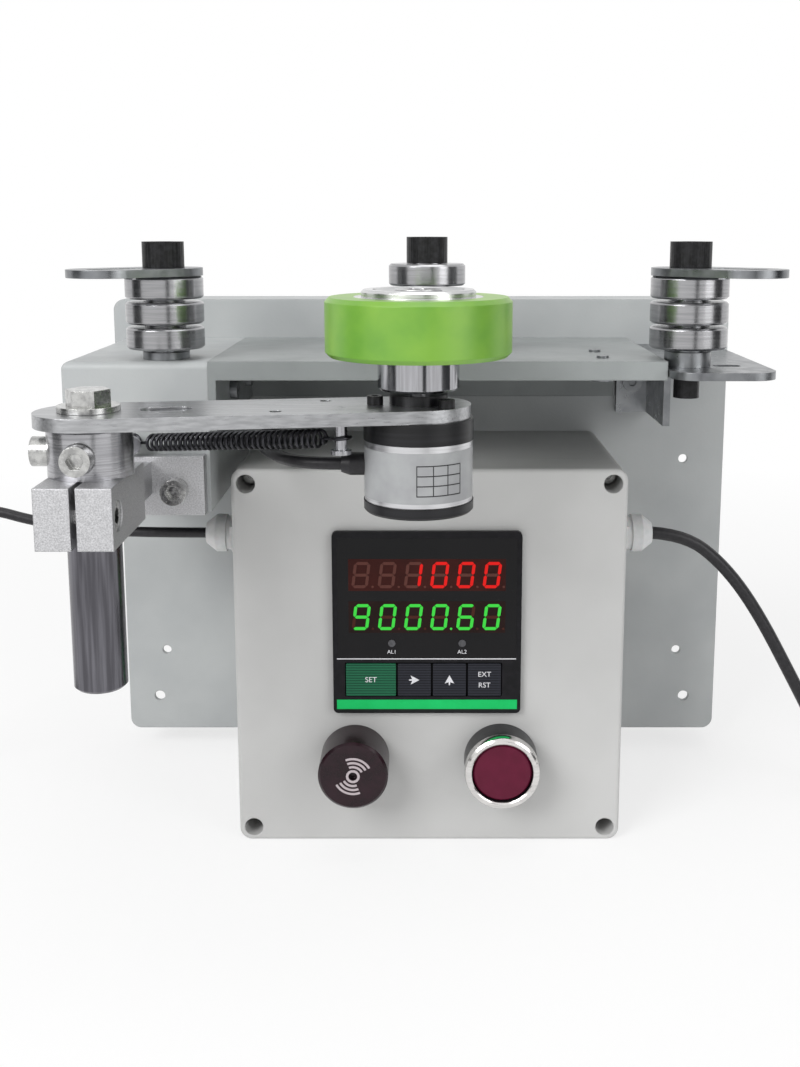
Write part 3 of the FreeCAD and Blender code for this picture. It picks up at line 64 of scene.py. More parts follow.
camera = bpy.data.objects.new("camera", bpy.data.cameras.new("camera"))
bpy.context.scene.collection.objects.link(camera)
camera.data.sensor_fit = "HORIZONTAL"
camera.data.sensor_width = 36
camera.data.lens = 54
camera.data.shift_x = LENS_SHIFT[0] / PICTURE_WIDE
camera.data.shift_y = LENS_SHIFT[1] / PICTURE_WIDE
camera.data.clip_start = 0.01
camera.location = mm(-1.8, -510.3, 253.5)
camera.rotation_euler = (math.radians(90 - LOOKS_DOWN), 0, 0)
bpy.context.scene.camera = camera
bpy.context.scene.view_settings.view_transform = "Standard"

# ---- small builders


def show(name, data, body):
    """Links a new piece; it moves with the body, if one is named."""
    piece = bpy.data.objects.new(name, data)
    bpy.context.scene.collection.objects.link(piece)
    if body:
        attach(piece, body)
    return piece


def mesh_of(name, build, smooth=30):
    """A mesh that build fills; faces meeting flatter than smooth degrees are shaded as one."""
    shape = bmesh.new()
    build(shape)
    bmesh.ops.recalc_face_normals(shape, faces=shape.faces)
    mesh = bpy.data.meshes.new(name)
    shape.to_mesh(mesh)
    shape.free()
    mesh.shade_smooth()
    mesh.set_sharp_from_angle(angle=math.radians(smooth))
    return mesh


def tube_rings(shape, points, radius, sides):
    """A round tube along points, closed at both ends, its section carried along without twist."""
    rings = []
    side = None
    for i, point in enumerate(points):
        ahead = points[min(i + 1, len(points) - 1)] - points[max(i - 1, 0)]
        ahead.normalize()
        if side is None:
            side = ahead.orthogonal().normalized()
        side = (side - ahead * side.dot(ahead)).normalized()
        up = ahead.cross(side)
        ring = []
        for k in range(sides):
            angle = 2 * math.pi * k / sides
            across = side * math.cos(angle) + up * math.sin(angle)
            ring.append(shape.verts.new(point + across * radius))
        rings.append(ring)
    for a, b in zip(rings, rings[1:]):
        for k in range(sides):
            shape.faces.new((a[k], a[(k + 1) % sides], b[(k + 1) % sides], b[k]))
    shape.faces.new(rings[0][::-1])
    shape.faces.new(rings[-1])


# ---- cords

TURN_POINTS = 16
# a quadratic spline runs inside its control ring by this share
TURN_REACH = 1 / math.cos(math.pi / TURN_POINTS)
COIL_ROWS = 4
# the climb to the upper layer: its part of a turn, and how far it dips inwards in cord radii
CLIMB_TURN, CLIMB_DIP = 0.35, 0.12
LAST_TURN = 0.25


def coil_points(centre_x, centre_y, middle, radius, way):
    """Control points of a lead wound on the floor: inwards, up one layer and outwards again."""
    inward = COIL_ROWS - 1
    outer = middle + inward * radius
    inner = middle - inward * radius
    climbed = inward + CLIMB_TURN
    turns = 2 * inward + LAST_TURN
    points = []
    for i in range(1, round(turns * TURN_POINTS) + 1):
        t = i / TURN_POINTS
        if t < inward:
            ring, lift = outer - 2 * radius * t, 0
        elif t < climbed:
            lift = (t - inward) / CLIMB_TURN
            ring = inner - CLIMB_DIP * radius * math.sin(math.pi * lift)
        else:
            lift = 1
            ring = inner + (outer - inner) * (t - climbed) / (turns - climbed)
        lift = lift * lift * (3 - 2 * lift)
        angle = math.radians(90 - 360 * t)
        points.append((centre_x + way * ring * TURN_REACH * math.cos(angle),
                       centre_y + ring * TURN_REACH * math.sin(angle), radius * (1 + 2 * lift)))
    return points


POWER_ROUTE = [(97, 0, 120.5), (112, 0, 119.5), (129, 0.5, 106.5), (145, 1, 85.5), (164, 0.5, 50.5),
               (176, 0, 27.5), (190, 0, 9.08), (211, 0, 2.75), (232, 0, 2.75)]
OUTPUT_ROUTE = [(-97, 0, 120.5), (-118, 0, 120.5), (-146, 0, 121.5), (-173.5, 0, 125.8),
                (-190, 0, 130.8), (-208, 0, 131), (-224, 0, 121), (-234, 0, 100), (-240, 0, 70),
                (-245, 0, 40), (-254, 0, 16.8), (-272, 0, 2.25), (-292, 0, 2.25)]
ENCODER_ROUTE = [(-30.7, -103.01, 172), (-44.7, -103.01, 172), (-56.7, -87.01, 172),
                 (-65, -61.01, 172), (-64, -31.01, 172.5), (-60.5, -3.01, 172),
                 (-60, 18, 168.5), (-60, 31, 166), (-60, 43, 166)]
LEAD_SIDES = 14
# centre, middle and cord radius, and the side it winds to
POWER_COIL = (247.46, -41.25, 33, 2.75, 1)
OUTPUT_COIL = (-304.68, -33.75, 27, 2.25, -1)
POWER_TAIL = [(288.71, -56.71, 8.25), (288.71, -61.25, 7.15), (288.71, -65.25, 6.85)]
OUTPUT_TAIL = [(-338.43, -46.43, 6.75), (-338.43, -50.75, 6.64), (-338.43, -53.75, 6.5)]


def smooth_line(points):
    """The quadratic spline that these control points (mm) give, and its length, both in metres."""
    curve = bpy.data.curves.new("measure", "CURVE")
    curve.dimensions = "3D"
    curve.resolution_u = 6
    spline = curve.splines.new("NURBS")
    spline.points.add(len(points) - 1)
    for control, point in zip(spline.points, points):
        control.co = (*(Vector(point) * MM), 1)
    spline.order_u = 3
    spline.use_endpoint_u = True
    probe = bpy.data.objects.new("measure", curve)
    mesh = bpy.data.meshes.new_from_object(probe)
    line = [v.co.copy() for v in mesh.vertices]
    bpy.data.objects.remove(probe)
    bpy.data.curves.remove(curve)
    bpy.data.meshes.remove(mesh)
    return line, sum((b - a).length for a, b in zip(line, line[1:]))


def lead(name, points, radius, far_end, lay, pieces, *nodes):
    """A round lead on the smooth line of its control points, in place of its plain solids.

    One that ends on the object rides on no body.
    """
    line, length = smooth_line(points)
    body = None if far_end == "object" else "frame"
    tube = mesh_of(name, lambda shape: tube_rings(shape, line, radius * MM, LEAD_SIDES))
    piece = show(name, tube, body)
    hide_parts(*nodes)
    print(name, "length", round(length, 3))
    return piece


power_cord = lead("power_cord", POWER_ROUTE + coil_points(*POWER_COIL) + POWER_TAIL, 2.75,
                  "plug", "loose", [NODES["power_plug"]], "power_lead", "power_lead_coil")
output_cord = lead("output_cord", OUTPUT_ROUTE + coil_points(*OUTPUT_COIL) + OUTPUT_TAIL, 2.25,
                   "connector", "loose", [NODES["output_connector"]], "output_lead", "output_lead_coil")
encoder_cord = lead("encoder_cord", ENCODER_ROUTE, 2.25, "object", "taut", [], "encoder_lead")
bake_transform(encoder_cord)

# ---- tension spring

PIVOT = Vector((-112.5, -120, 0))
YAW = math.radians(8.9)


def on_arm(u, v, z):
    """A point of the arm in mm: u along it from the pivot and v across it."""
    return Vector((PIVOT.x + u * math.cos(YAW) - v * math.sin(YAW),
                   PIVOT.y + u * math.sin(YAW) + v * math.cos(YAW), z))


WHEEL = on_arm(109.82, 0, 0)
HOOK_A = Vector((-113, -58, 171))
HOOK_B = on_arm(82.7, -4.9, 182.5)

# radii of the wire, the coils and the end eyes
SPRING_WIRE, SPRING_RING, SPRING_EYE = 0.62, 2.88, 3.2
SPRING_COILS = 34
# how far the coils begin from a post along the spring, and how far out of its middle
COILS_INSET, COILS_BEGIN = 7.2, 0.3
COIL_STEPS = 16
EYE_STEPS = 20
EYE_ARC = 300  # degrees


def spring_line():
    """The wire's line: an eye round each post, a level one at the arm, and close coils between them."""
    axis = (HOOK_B - HOOK_A).normalized()
    side = axis.cross(Vector((0, 0, 1))).normalized()
    up = side.cross(axis)
    span = (HOOK_B - HOOK_A).length

    def at(along, across, high):
        return (HOOK_A + axis * along + side * across + up * high) * MM

    points = []
    for k in range(EYE_STEPS + 1):
        angle = math.radians(EYE_ARC - EYE_ARC * k / EYE_STEPS)
        points.append(at(SPRING_EYE * math.cos(angle), 0, SPRING_EYE * math.sin(angle)))
    begin, stop = COILS_INSET, span - COILS_INSET
    steps = SPRING_COILS * COIL_STEPS
    half_coil = COIL_STEPS / 2
    for k in range(steps + 1):
        angle = 2 * math.pi * k / COIL_STEPS
        grow = min(1, k / half_coil, (steps - k) / half_coil)
        reach = COILS_BEGIN + (SPRING_RING - COILS_BEGIN) * grow
        along = begin + (stop - begin) * k / steps
        points.append(at(along, reach * math.cos(angle), reach * math.sin(angle)))
    for k in range(EYE_STEPS + 1):
        angle = math.radians(180 - EYE_ARC * k / EYE_STEPS)
        points.append(at(span + SPRING_EYE * math.cos(angle), SPRING_EYE * math.sin(angle), 0))
    return points


spring = show("tension_spring", mesh_of("tension_spring", lambda shape: tube_rings(
    shape, spring_line(), SPRING_WIRE * MM, 8), 60), None)
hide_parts("arm_spring")
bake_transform(spring)

# ---- meter face: digits, lamps, printed lines and key legends

METER_X, METER_Z = -1, 95.1
FACE_Y = -47.5
WINDOW_TOP = FACE_Y - 0.03
SEGMENTS = {"0": "abcdef", "1": "bc", "6": "acdefg", "9": "abcdfg", " ": ""}
# heights of the two rows of digits above the floor
COUNT_Z, PRESET_Z = 115.4, 97.9
FIRST_DIGIT, DIGIT_PITCH, DIGIT_WIDE, DIGIT_TALL = -26.4, 10.5, 5.4, 9.6
DIGIT_LEAN = 7  # degrees
BAR_HALF = 0.62
BAR_GAP = 0.12
# a decimal point, from its digit's middle
POINT_RIGHT, POINT_DOWN, POINT_RADIUS = 4.6, 4.9, 0.5


def prism(shape, outline, y, thick=0.12):
    """A thin raised shape on the face: outline in X and Z, standing out of it."""
    back = [shape.verts.new(mm(x, y, z)) for x, z in outline]
    front = [shape.verts.new(mm(x, y - thick, z)) for x, z in outline]
    shape.faces.new(front)
    shape.faces.new(back[::-1])
    for i in range(len(outline)):
        j = (i + 1) % len(outline)
        shape.faces.new((back[i], back[j], front[j], front[i]))


def rectangle(x0, x1, z0, z1):
    """An outline between two X and two Z."""
    return [(x0, z0), (x1, z0), (x1, z1), (x0, z1)]


def disc(x, z, radius, count=20):
    """A round outline of count corners."""
    turns = [2 * math.pi * k / count for k in range(count)]
    return [(x + radius * math.cos(a), z + radius * math.sin(a)) for a in turns]


def bar_outline(x0, z0, x1, z1):
    """A pointed bar from one end to the other, as in a seven-segment digit."""
    a, b = Vector((x0, z0)), Vector((x1, z1))
    along = (b - a).normalized()
    across = Vector((-along.y, along.x)) * BAR_HALF
    a, b = a + along * BAR_GAP, b - along * BAR_GAP
    inner_a, inner_b = a + along * BAR_HALF, b - along * BAR_HALF
    corners = (a, inner_a + across, inner_b + across, b, inner_b - across, inner_a - across)
    return [(p.x, p.y) for p in corners]


def digit(shape, x, z, names):
    """The named segments of one leaning digit about x, z."""
    lean = math.tan(math.radians(DIGIT_LEAN))
    w, t = DIGIT_WIDE / 2, DIGIT_TALL / 2
    ends = {"a": (-w, t, w, t), "b": (w, t, w, 0), "c": (w, 0, w, -t), "d": (-w, -t, w, -t),
            "e": (-w, 0, -w, -t), "f": (-w, t, -w, 0), "g": (-w, 0, w, 0)}
    for name in names:
        outline = bar_outline(*ends[name])
        prism(shape, [(x + px + pz * lean, z + pz) for px, pz in outline], WINDOW_TOP)


def row_of_digits(text, z, lit, points=()):
    """One row of six digits: only the lit or only the unlit segments."""
    def build(shape):
        for i, character in enumerate(text):
            x = METER_X + FIRST_DIGIT + DIGIT_PITCH * i
            on = SEGMENTS[character]
            names = on if lit else [s for s in "abcdefg" if s not in on]
            digit(shape, x, z, names)
            if (i in points) == lit:
                prism(shape, disc(x + POINT_RIGHT, z - POINT_DOWN, POINT_RADIUS, 8), WINDOW_TOP)
    return build


def flat_shapes(outlines, y, thick=0.12):
    def build(shape):
        for outline in outlines:
            prism(shape, outline, y, thick)
    return build


def face_bar(left, right, low, high):
    """A level bar on the meter: left and right of its middle, low and high above the floor."""
    return rectangle(METER_X + left, METER_X + right, low, high)


def face_piece(name, build, body="frame"):
    return show(name, mesh_of(name, build), body)


red_lit = face_piece("count_digits_lit", row_of_digits("  1000", COUNT_Z, True))
red_dim = face_piece("count_digits_unlit", row_of_digits("  1000", COUNT_Z, False))
green_lit = face_piece("preset_digits_lit", row_of_digits("900060", PRESET_Z, True, points=(3,)))
green_dim = face_piece("preset_digits_unlit", row_of_digits("900060", PRESET_Z, False, points=(3,)))
strips = [face_bar(-31.5, 31.5, z - 6.6, z + 6.6) for z in (COUNT_Z, PRESET_Z)]
red_strip = face_piece("count_strip", flat_shapes(strips[:1], FACE_Y, 0.02))
green_strip = face_piece("preset_strip", flat_shapes(strips[1:], FACE_Y, 0.02))
LAMPS = (METER_X - 14.2, METER_X + 14.2)
lamps = face_piece("alarm_lamps", flat_shapes([disc(x, 86.9, 1.5) for x in LAMPS], FACE_Y, 0.3))
white_line = face_piece("white_line", flat_shapes([face_bar(-36.4, 36, 80.1, 80.5)], FACE_Y))
green_bar = face_piece("green_bar", flat_shapes([face_bar(-36.6, 36.6, 58.9, 62.9)], FACE_Y))


def legend(name, text, x, z, size, y, body):
    """Raised plain lettering on a face that looks to the front."""
    curve = bpy.data.curves.new(name, "FONT")
    curve.body = text
    curve.size = size * MM
    curve.extrude = 0.06 * MM
    curve.align_x = "CENTER"
    curve.align_y = "CENTER"
    source = bpy.data.objects.new(name + "_text", curve)
    mesh = bpy.data.meshes.new_from_object(source)
    bpy.data.objects.remove(source)
    mesh.transform(Matrix.Translation(mm(x, y, z)) @ Matrix.Rotation(math.pi / 2, 4, "X"))
    return show(name, mesh, body)


KEY_RISE, KEY_DROP = 0.3, 23.65
KEY_Y = FACE_Y - KEY_RISE
KEY_Z = METER_Z - KEY_DROP


def key_middle(node):
    """The X of a key's middle, in mm."""
    low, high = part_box(node)
    return (low.x + high.x) / 2 / MM


def arrow(x, z, turn):
    """A chevron arrow head that points right, or up when turned."""
    outline = [(-1.5, 1.9), (2.0, 0), (-1.5, -1.9), (-0.9, -0.35), (-2.2, -0.2), (-2.2, 0.2),
               (-0.9, 0.35)]
    c, s = math.cos(turn), math.sin(turn)
    return [(x + px * c - pz * s, z + px * s + pz * c) for px, pz in outline]


SET_X, SHIFT_X, UP_X, RESET_X = [key_middle(n) for n in ("key_set", "key_shift", "key_up", "key_reset")]
marks = [
    legend("set_legend", "SET", SET_X, KEY_Z, 3.1, KEY_Y, "key_set_cap"),
    legend("external_legend", "EXT", RESET_X, KEY_Z + 2.3, 3.0, KEY_Y, "key_reset_cap"),
    legend("reset_legend", "RST", RESET_X, KEY_Z - 2.3, 3.0, KEY_Y, "key_reset_cap"),
    legend("lamp_one_legend", "AL1", LAMPS[0], 83.2, 2.3, FACE_Y, "frame"),
    legend("lamp_two_legend", "AL2", LAMPS[1], 83.2, 2.3, FACE_Y, "frame"),
    face_piece("shift_arrow", flat_shapes([arrow(SHIFT_X, KEY_Z, 0)], KEY_Y), "key_shift_cap"),
    face_piece("up_arrow", flat_shapes([arrow(UP_X, KEY_Z, math.pi / 2)], KEY_Y), "key_up_cap"),
]

# ---- buzzer's sound mark and the button's plated front ring

BUZZER_X, BUZZER_Z, BUZZER_FACE = -30.5, 37, -63
BUTTON_X, BUTTON_Z, BUTTON_FACE = 29.3, 36.5, -59.5
BAND_THICK, BAND_STEPS = 0.1, 14
ARC_RADII, ARC_HALF, FAN_HALF = (4.0, 5.7, 7.4), 0.45, 42
RING_SIDES = 64


def arc_band(shape, inner, outer, start, stop):
    """A raised band on the buzzer's face, between two angles in degrees."""
    back, front = BUZZER_FACE, BUZZER_FACE - BAND_THICK
    ends = []
    for k in range(BAND_STEPS + 1):
        a = math.radians(start + (stop - start) * k / BAND_STEPS)
        across, high = math.cos(a), math.sin(a)
        ends.append([shape.verts.new(mm(BUZZER_X + r * across, y, BUZZER_Z + r * high))
                     for r, y in ((inner, back), (outer, back), (outer, front), (inner, front))])
    for a, b in zip(ends, ends[1:]):
        for k in range(4):
            shape.faces.new((a[k], a[(k + 1) % 4], b[(k + 1) % 4], b[k]))
    shape.faces.new(ends[0][::-1])
    shape.faces.new(ends[-1])


def sound_mark(shape):
    """Three arcs in two opposite fans about a small middle ring."""
    for radius in ARC_RADII:
        for middle in (70, 250):
            arc_band(shape, radius - ARC_HALF, radius + ARC_HALF, middle - FAN_HALF, middle + FAN_HALF)
    arc_band(shape, 1.8, 2.8, 0, 359.9)


def front_ring(shape):
    """A ring with a round lip, over the barrel's front edge: radii, and distances out of its face."""
    profile = [(12.35, 0.05), (12.35, 0.35), (12.9, 0.8), (14.0, 0.8), (14.9, 0.1), (15.2, -1.2),
               (15.2, -3.4), (15.02, -3.5)]
    rings = [[shape.verts.new(mm(x, BUTTON_FACE - out, z))
              for x, z in disc(BUTTON_X, BUTTON_Z, radius, RING_SIDES)] for radius, out in profile]
    for a, b in zip(rings, rings[1:]):
        for k in range(RING_SIDES):
            after = (k + 1) % RING_SIDES
            shape.faces.new((a[k], a[after], b[after], b[k]))


buzzer_mark = face_piece("buzzer_sound_mark", sound_mark)
button_ring = face_piece("button_front_ring", front_ring)

# ---- encoder label: a blank foil label with a ruled box

LABEL_RADIUS, LABEL_LOW, LABEL_HIGH = 18.71, 161.6, 178.8
RULE_RADIUS, RULE_THICK, RULE_WIDE = 18.83, 0.06, 0.35
RULE_LEVELS, RULES_TOP = (164.2, 167.6, 171.0, 174.4), 174.7
# upright rules: where they stand, how wide they are and where the level ones end, in degrees
RULE_ANGLES, RULE_TURN, RULES_END = (268, 285, 301, 317.3), 0.9, 318


def curved_patch(shape, radius, angle0, angle1, z0, z1, thick=0.12, steps=40):
    """A thin sheet wrapped round the encoder, angles in degrees from +X."""
    rows = []
    for r in (radius, radius + thick):
        low, high = [], []
        for k in range(steps + 1):
            a = math.radians(angle0 + (angle1 - angle0) * k / steps)
            x, y = WHEEL.x + r * math.cos(a), WHEEL.y + r * math.sin(a)
            low.append(shape.verts.new(mm(x, y, z0)))
            high.append(shape.verts.new(mm(x, y, z1)))
        rows.append((low, high))
    (il, ih), (ol, oh) = rows
    for k in range(steps):
        shape.faces.new((ol[k], ol[k + 1], oh[k + 1], oh[k]))
        shape.faces.new((il[k], ih[k], ih[k + 1], il[k + 1]))
        shape.faces.new((il[k], il[k + 1], ol[k + 1], ol[k]))
        shape.faces.new((ih[k], oh[k], oh[k + 1], ih[k + 1]))
    for k in (0, steps):
        shape.faces.new((il[k], ol[k], oh[k], ih[k]))


def label_rules(shape):
    for z in RULE_LEVELS:
        curved_patch(shape, RULE_RADIUS, RULE_ANGLES[0], RULES_END, z, z + RULE_WIDE, RULE_THICK, 16)
    for a in RULE_ANGLES:
        curved_patch(shape, RULE_RADIUS, a, a + RULE_TURN, RULE_LEVELS[0], RULES_TOP, RULE_THICK, 2)


label = show("encoder_label", mesh_of("encoder_label", lambda shape: curved_patch(
    shape, LABEL_RADIUS, 185, 350, LABEL_LOW, LABEL_HIGH)), "swing_arm_unit")
rules = show("encoder_label_rules", mesh_of("encoder_label_rules", label_rules), "swing_arm_unit")

# ---- materials


def linear(code):
    """An sRGB hex colour as linear light."""
    parts = [int(code[i:i + 2], 16) / 255 for i in (1, 3, 5)]
    return (*[c / 12.92 if c <= 0.04045 else ((c + 0.055) / 1.055) ** 2.4 for c in parts], 1)


def add(tree, kind, inputs=None, **settings):
    """Adds one node; inputs maps a socket to a value or to another node's output."""
    made = tree.nodes.new(kind)
    for name, value in settings.items():
        setattr(made, name, value)
    for socket, value in (inputs or {}).items():
        if isinstance(value, bpy.types.NodeSocket):
            tree.links.new(value, made.inputs[socket])
        else:
            made.inputs[socket].default_value = value
    return made


def grain(tree, size, stretch):
    """Noise whose blotches are size mm across, drawn out along the axes with a small stretch."""
    where = add(tree, "ShaderNodeTexCoord")
    mapped = add(tree, "ShaderNodeMapping", {"Vector": where.outputs["Object"], "Scale": stretch})
    noise = {"Vector": mapped.outputs["Vector"], "Scale": 1 / (size * MM), "Detail": 3.0}
    return add(tree, "ShaderNodeTexNoise", noise).outputs["Fac"]


def blend_colours(tree, mask, low, high, start=0.35, stop=0.65):
    """Two hex colours mixed by a mask between start and stop."""
    ramp = add(tree, "ShaderNodeValToRGB", {"Fac": mask})
    ramp.color_ramp.elements[0].position = start
    ramp.color_ramp.elements[0].color = linear(low)
    ramp.color_ramp.elements[1].position = stop
    ramp.color_ramp.elements[1].color = linear(high)
    return ramp.outputs["Color"]


def span(tree, mask, low, high, start=0.3, stop=0.7):
    """Numbers from low to high, by a mask between start and stop."""
    ends = {"From Min": start, "From Max": stop, "To Min": low, "To Max": high}
    return add(tree, "ShaderNodeMapRange", {"Value": mask, **ends}).outputs["Result"]


def make(name, metallic=0.0, roughness=0.5, edge=0.4, bumps=(), colour=None, colours=None,
         rough=None, **sockets):
    """A material whose edges look rounded by edge mm.

    colours and rough are a noise's (size in mm, stretch, low, high), bumps its (size, stretch, height).
    """
    material = bpy.data.materials.new(name)
    material.use_nodes = True
    tree = material.node_tree
    shader = tree.nodes["Principled BSDF"]
    shader.inputs["Metallic"].default_value = metallic
    shader.inputs["Roughness"].default_value = roughness
    if colour:
        shader.inputs["Base Color"].default_value = linear(colour)
    if colours:
        size, stretch, low, high = colours
        mixed_colour = blend_colours(tree, grain(tree, size, stretch), low, high)
        tree.links.new(mixed_colour, shader.inputs["Base Color"])
    if rough:
        size, stretch, low, high = rough
        tree.links.new(span(tree, grain(tree, size, stretch), low, high), shader.inputs["Roughness"])
    normal = None
    if edge:
        normal = add(tree, "ShaderNodeBevel", {"Radius": edge * MM}, samples=4).outputs["Normal"]
    for size, stretch, height in bumps:
        inputs = {"Height": grain(tree, size, stretch), "Distance": height * MM, "Strength": 1.0}
        if normal:
            inputs["Normal"] = normal
        normal = add(tree, "ShaderNodeBump", inputs).outputs["Normal"]
    if normal:
        tree.links.new(normal, shader.inputs["Normal"])
    for socket, value in sockets.items():
        shader.inputs[socket.replace("_", " ")].default_value = value
    return material


# stretches of a noise: a small number draws it out along that axis
EVEN = (1, 1, 1)
ALONG_X = (0.04, 1, 1)
ALONG_Z = (1, 1, 0.04)
ROUND_Z = (0.03, 0.03, 1)

# powder coat on steel sheet: a fine orange peel that softens highlights
powder_coat = make("powder_coated_steel", roughness=0.42, edge=0.8,
                   colours=(40, EVEN, "#a8abac", "#b3b6b6"),
                   bumps=((1.4, EVEN, 0.05),), rough=(14, EVEN, 0.36, 0.5))
# the panel's powder coat again, its colour darkened as painted shade on the guide shelf's top and lip
shelf_painted_shade = make("shelf_powder_coat_painted_shade", roughness=0.42, edge=0.8,
                  colours=(40, EVEN, "#8b8f8f", "#989c9c"),
                  bumps=((1.4, EVEN, 0.05),), rough=(14, EVEN, 0.36, 0.5), Specular_IOR_Level=0.3)
# zinc-plated steel plate: pale, slightly cloudy metal
zinc_plate = make("zinc_plated_steel", 1.0, 0.3, 0.3, colours=(8, EVEN, "#7c7e81", "#929496"),
                  bumps=((0.8, ALONG_X, 0.008),), rough=(5, EVEN, 0.26, 0.4))
# ground bearing steel: faint grinding lines run round the ring
bearing_steel = make("ground_bearing_steel", 1.0, 0.22, 0.5,
                     colours=(0.8, ROUND_Z, "#9a9a9c", "#a8a8aa"),
                     bumps=((0.5, ROUND_Z, 0.004),), rough=(0.9, ROUND_Z, 0.18, 0.26))
# black oxide on a socket screw: dull black with a knurled look drawn coarse enough to show
black_oxide = make("black_oxide_steel", 0.6, 0.42, 0.4, colours=(2, EVEN, "#141414", "#242426"),
                   bumps=((0.7, ALONG_Z, 0.25),))
# bright zinc on small screws
bright_zinc = make("bright_zinc_screws", 1.0, 0.2, 0.35, colours=(2.5, EVEN, "#a4a4a3", "#c8c8c6"),
                   rough=(1.2, EVEN, 0.14, 0.3))
# brushed aluminium: hairlines along the arm
brushed_aluminium = make("brushed_aluminium", 1.0, 0.32, 0.35,
                         colours=(0.9, ALONG_X, "#a3a4a6", "#b9babc"),
                         bumps=((0.4, ALONG_X, 0.006),), rough=(0.8, ALONG_X, 0.26, 0.4))
# turned aluminium of the wheel hub
turned_aluminium = make("turned_aluminium", 1.0, 0.26, 0.35,
                        colours=(0.8, ROUND_Z, "#bfc0c1", "#dddddd"),
                        bumps=((0.4, ROUND_Z, 0.02),))
# bead-blasted aluminium casting: grit marks about half a millimetre wide
blasted_aluminium = make("blasted_aluminium", 1.0, 0.46, 0.6,
                         colours=(0.5, EVEN, "#afafb1", "#cfcfd1"),
                         bumps=((0.5, EVEN, 0.12),), rough=(1.5, EVEN, 0.38, 0.56))
# hard chrome on a ground rod
hard_chrome = make("hard_chromed_steel", 1.0, 0.1, 0.35, colours=(1.2, ALONG_Z, "#a0a0a3", "#b5b5b9"),
                   rough=(2.5, ALONG_Z, 0.1, 0.2))
# the pivot rod's ground steel: a mirror with streaks along it, its colour darkened as painted dark
# reflection
rod_painted_dark_reflection = make("rod_steel_painted_dark_reflection", 1.0, 0.16, 0.35, colours=(1.6, ALONG_Z, "#57565b", "#75747a"),
                  rough=(2.5, ALONG_Z, 0.14, 0.26))
# the pivot's bush
sintered_bronze = make("sintered_bronze", 1.0, 0.4, 0.2, colours=(0.6, EVEN, "#9a7440", "#b98f55"))
# oil-tempered spring wire: dark grey with a soft sheen
spring_wire = make("oil_tempered_spring_wire", 1.0, 0.32, 0, colours=(2, EVEN, "#2e2e31", "#4a4a4e"))
# cast polyurethane tyre: leaf green, a soft gloss, light goes a little way in
polyurethane = make("cast_polyurethane", roughness=0.34, edge=0.5,
                    colours=(16, EVEN, "#64993a", "#78a840"), bumps=((0.9, ROUND_Z, 0.012),),
                    Subsurface_Weight=0.12, Subsurface_Scale=0.004, Subsurface_Radius=(0.7, 1.0, 0.2),
                    Coat_Weight=0.3, Coat_Roughness=0.3, Coat_Tint=linear("#e8f08a"))
# the encoder: black ends, a satin sleeve, and a foil label with printed rules
black_anodised = make("black_anodised_aluminium", 0.35, 0.34, 0.4,
                      colours=(1.5, ROUND_Z, "#101012", "#1d1d20"))
satin_sleeve = make("satin_aluminium_sleeve", 1.0, 0.3, 0.3,
                    colours=(0.8, ROUND_Z, "#c4c4c6", "#d8d8da"))
foil_label = make("white_foil_label", 0.0, 0.34, 0.0, colours=(8, EVEN, "#939496", "#9d9fa0"))
label_ink = make("label_ink", 0.0, 0.5, 0.0, colour="#1b1b1d")
# ABS moulding with a fine spark-eroded texture
abs_shell = make("moulded_abs", roughness=0.46, edge=0.7, colours=(60, EVEN, "#b6b6b5", "#bfbfbe"),
                 bumps=((0.5, EVEN, 0.035),), rough=(18, EVEN, 0.42, 0.52))
# the counter's dull moulded case and its smooth dark window
meter_plastic = make("black_meter_plastic", roughness=0.4, edge=0.3,
                     colours=(3, EVEN, "#161618", "#1d1c1f"),
                     bumps=((0.4, EVEN, 0.015),), Specular_IOR_Level=0.12)
window_tint = make("tinted_display_window", roughness=0.12, edge=0.2,
                   colours=(20, EVEN, "#0b0b0d", "#100f11"), Specular_IOR_Level=0.2)
# the buzzer's glossy dark moulding and its printed mark
maroon_plastic = make("maroon_buzzer_plastic", roughness=0.22, edge=0.4,
                      colours=(5, EVEN, "#1c0d13", "#26121a"), Specular_IOR_Level=0.3)
printed_grey = make("printed_light_grey", roughness=0.45, edge=0, colour="#b2a7ab")
# the push button: plated ring, black anodised barrel, crimson cap
plated_ring = make("nickel_plated_ring", 1.0, 0.14, 0.4, colours=(1, ROUND_Z, "#cfcdcb", "#dedcda"))
dark_barrel = make("black_anodised_barrel", 0.35, 0.32, 0.4, colours=(1.5, EVEN, "#1b1b1d", "#29292c"))
crimson_cap = make("crimson_cap_plastic", roughness=0.26, edge=0.5,
                   colours=(6, EVEN, "#56102a", "#5c132e"), Specular_IOR_Level=0.2)
# cable glands, leads and their ends
white_nylon = make("white_nylon", roughness=0.4, edge=0.4, colours=(4, EVEN, "#cacbcb", "#d6d6d6"),
                   Subsurface_Weight=0.1, Subsurface_Scale=0.002)
pvc_sheath = make("black_pvc_sheath", roughness=0.38, edge=0.0, colours=(2, EVEN, "#1b1a1d", "#262528"),
                  bumps=((0.5, EVEN, 0.02),), Specular_IOR_Level=0.35)
plug_rubber = make("black_moulded_plug", roughness=0.42, edge=0.5,
                   colours=(3, EVEN, "#141415", "#202022"), bumps=((0.5, EVEN, 0.03),))
# the pivot's hub
turned_steel = make("turned_steel_hub", 1.0, 0.2, 0.4, colours=(0.8, ROUND_Z, "#98989b", "#b4b4b7"),
                    bumps=((0.4, ROUND_Z, 0.015),))
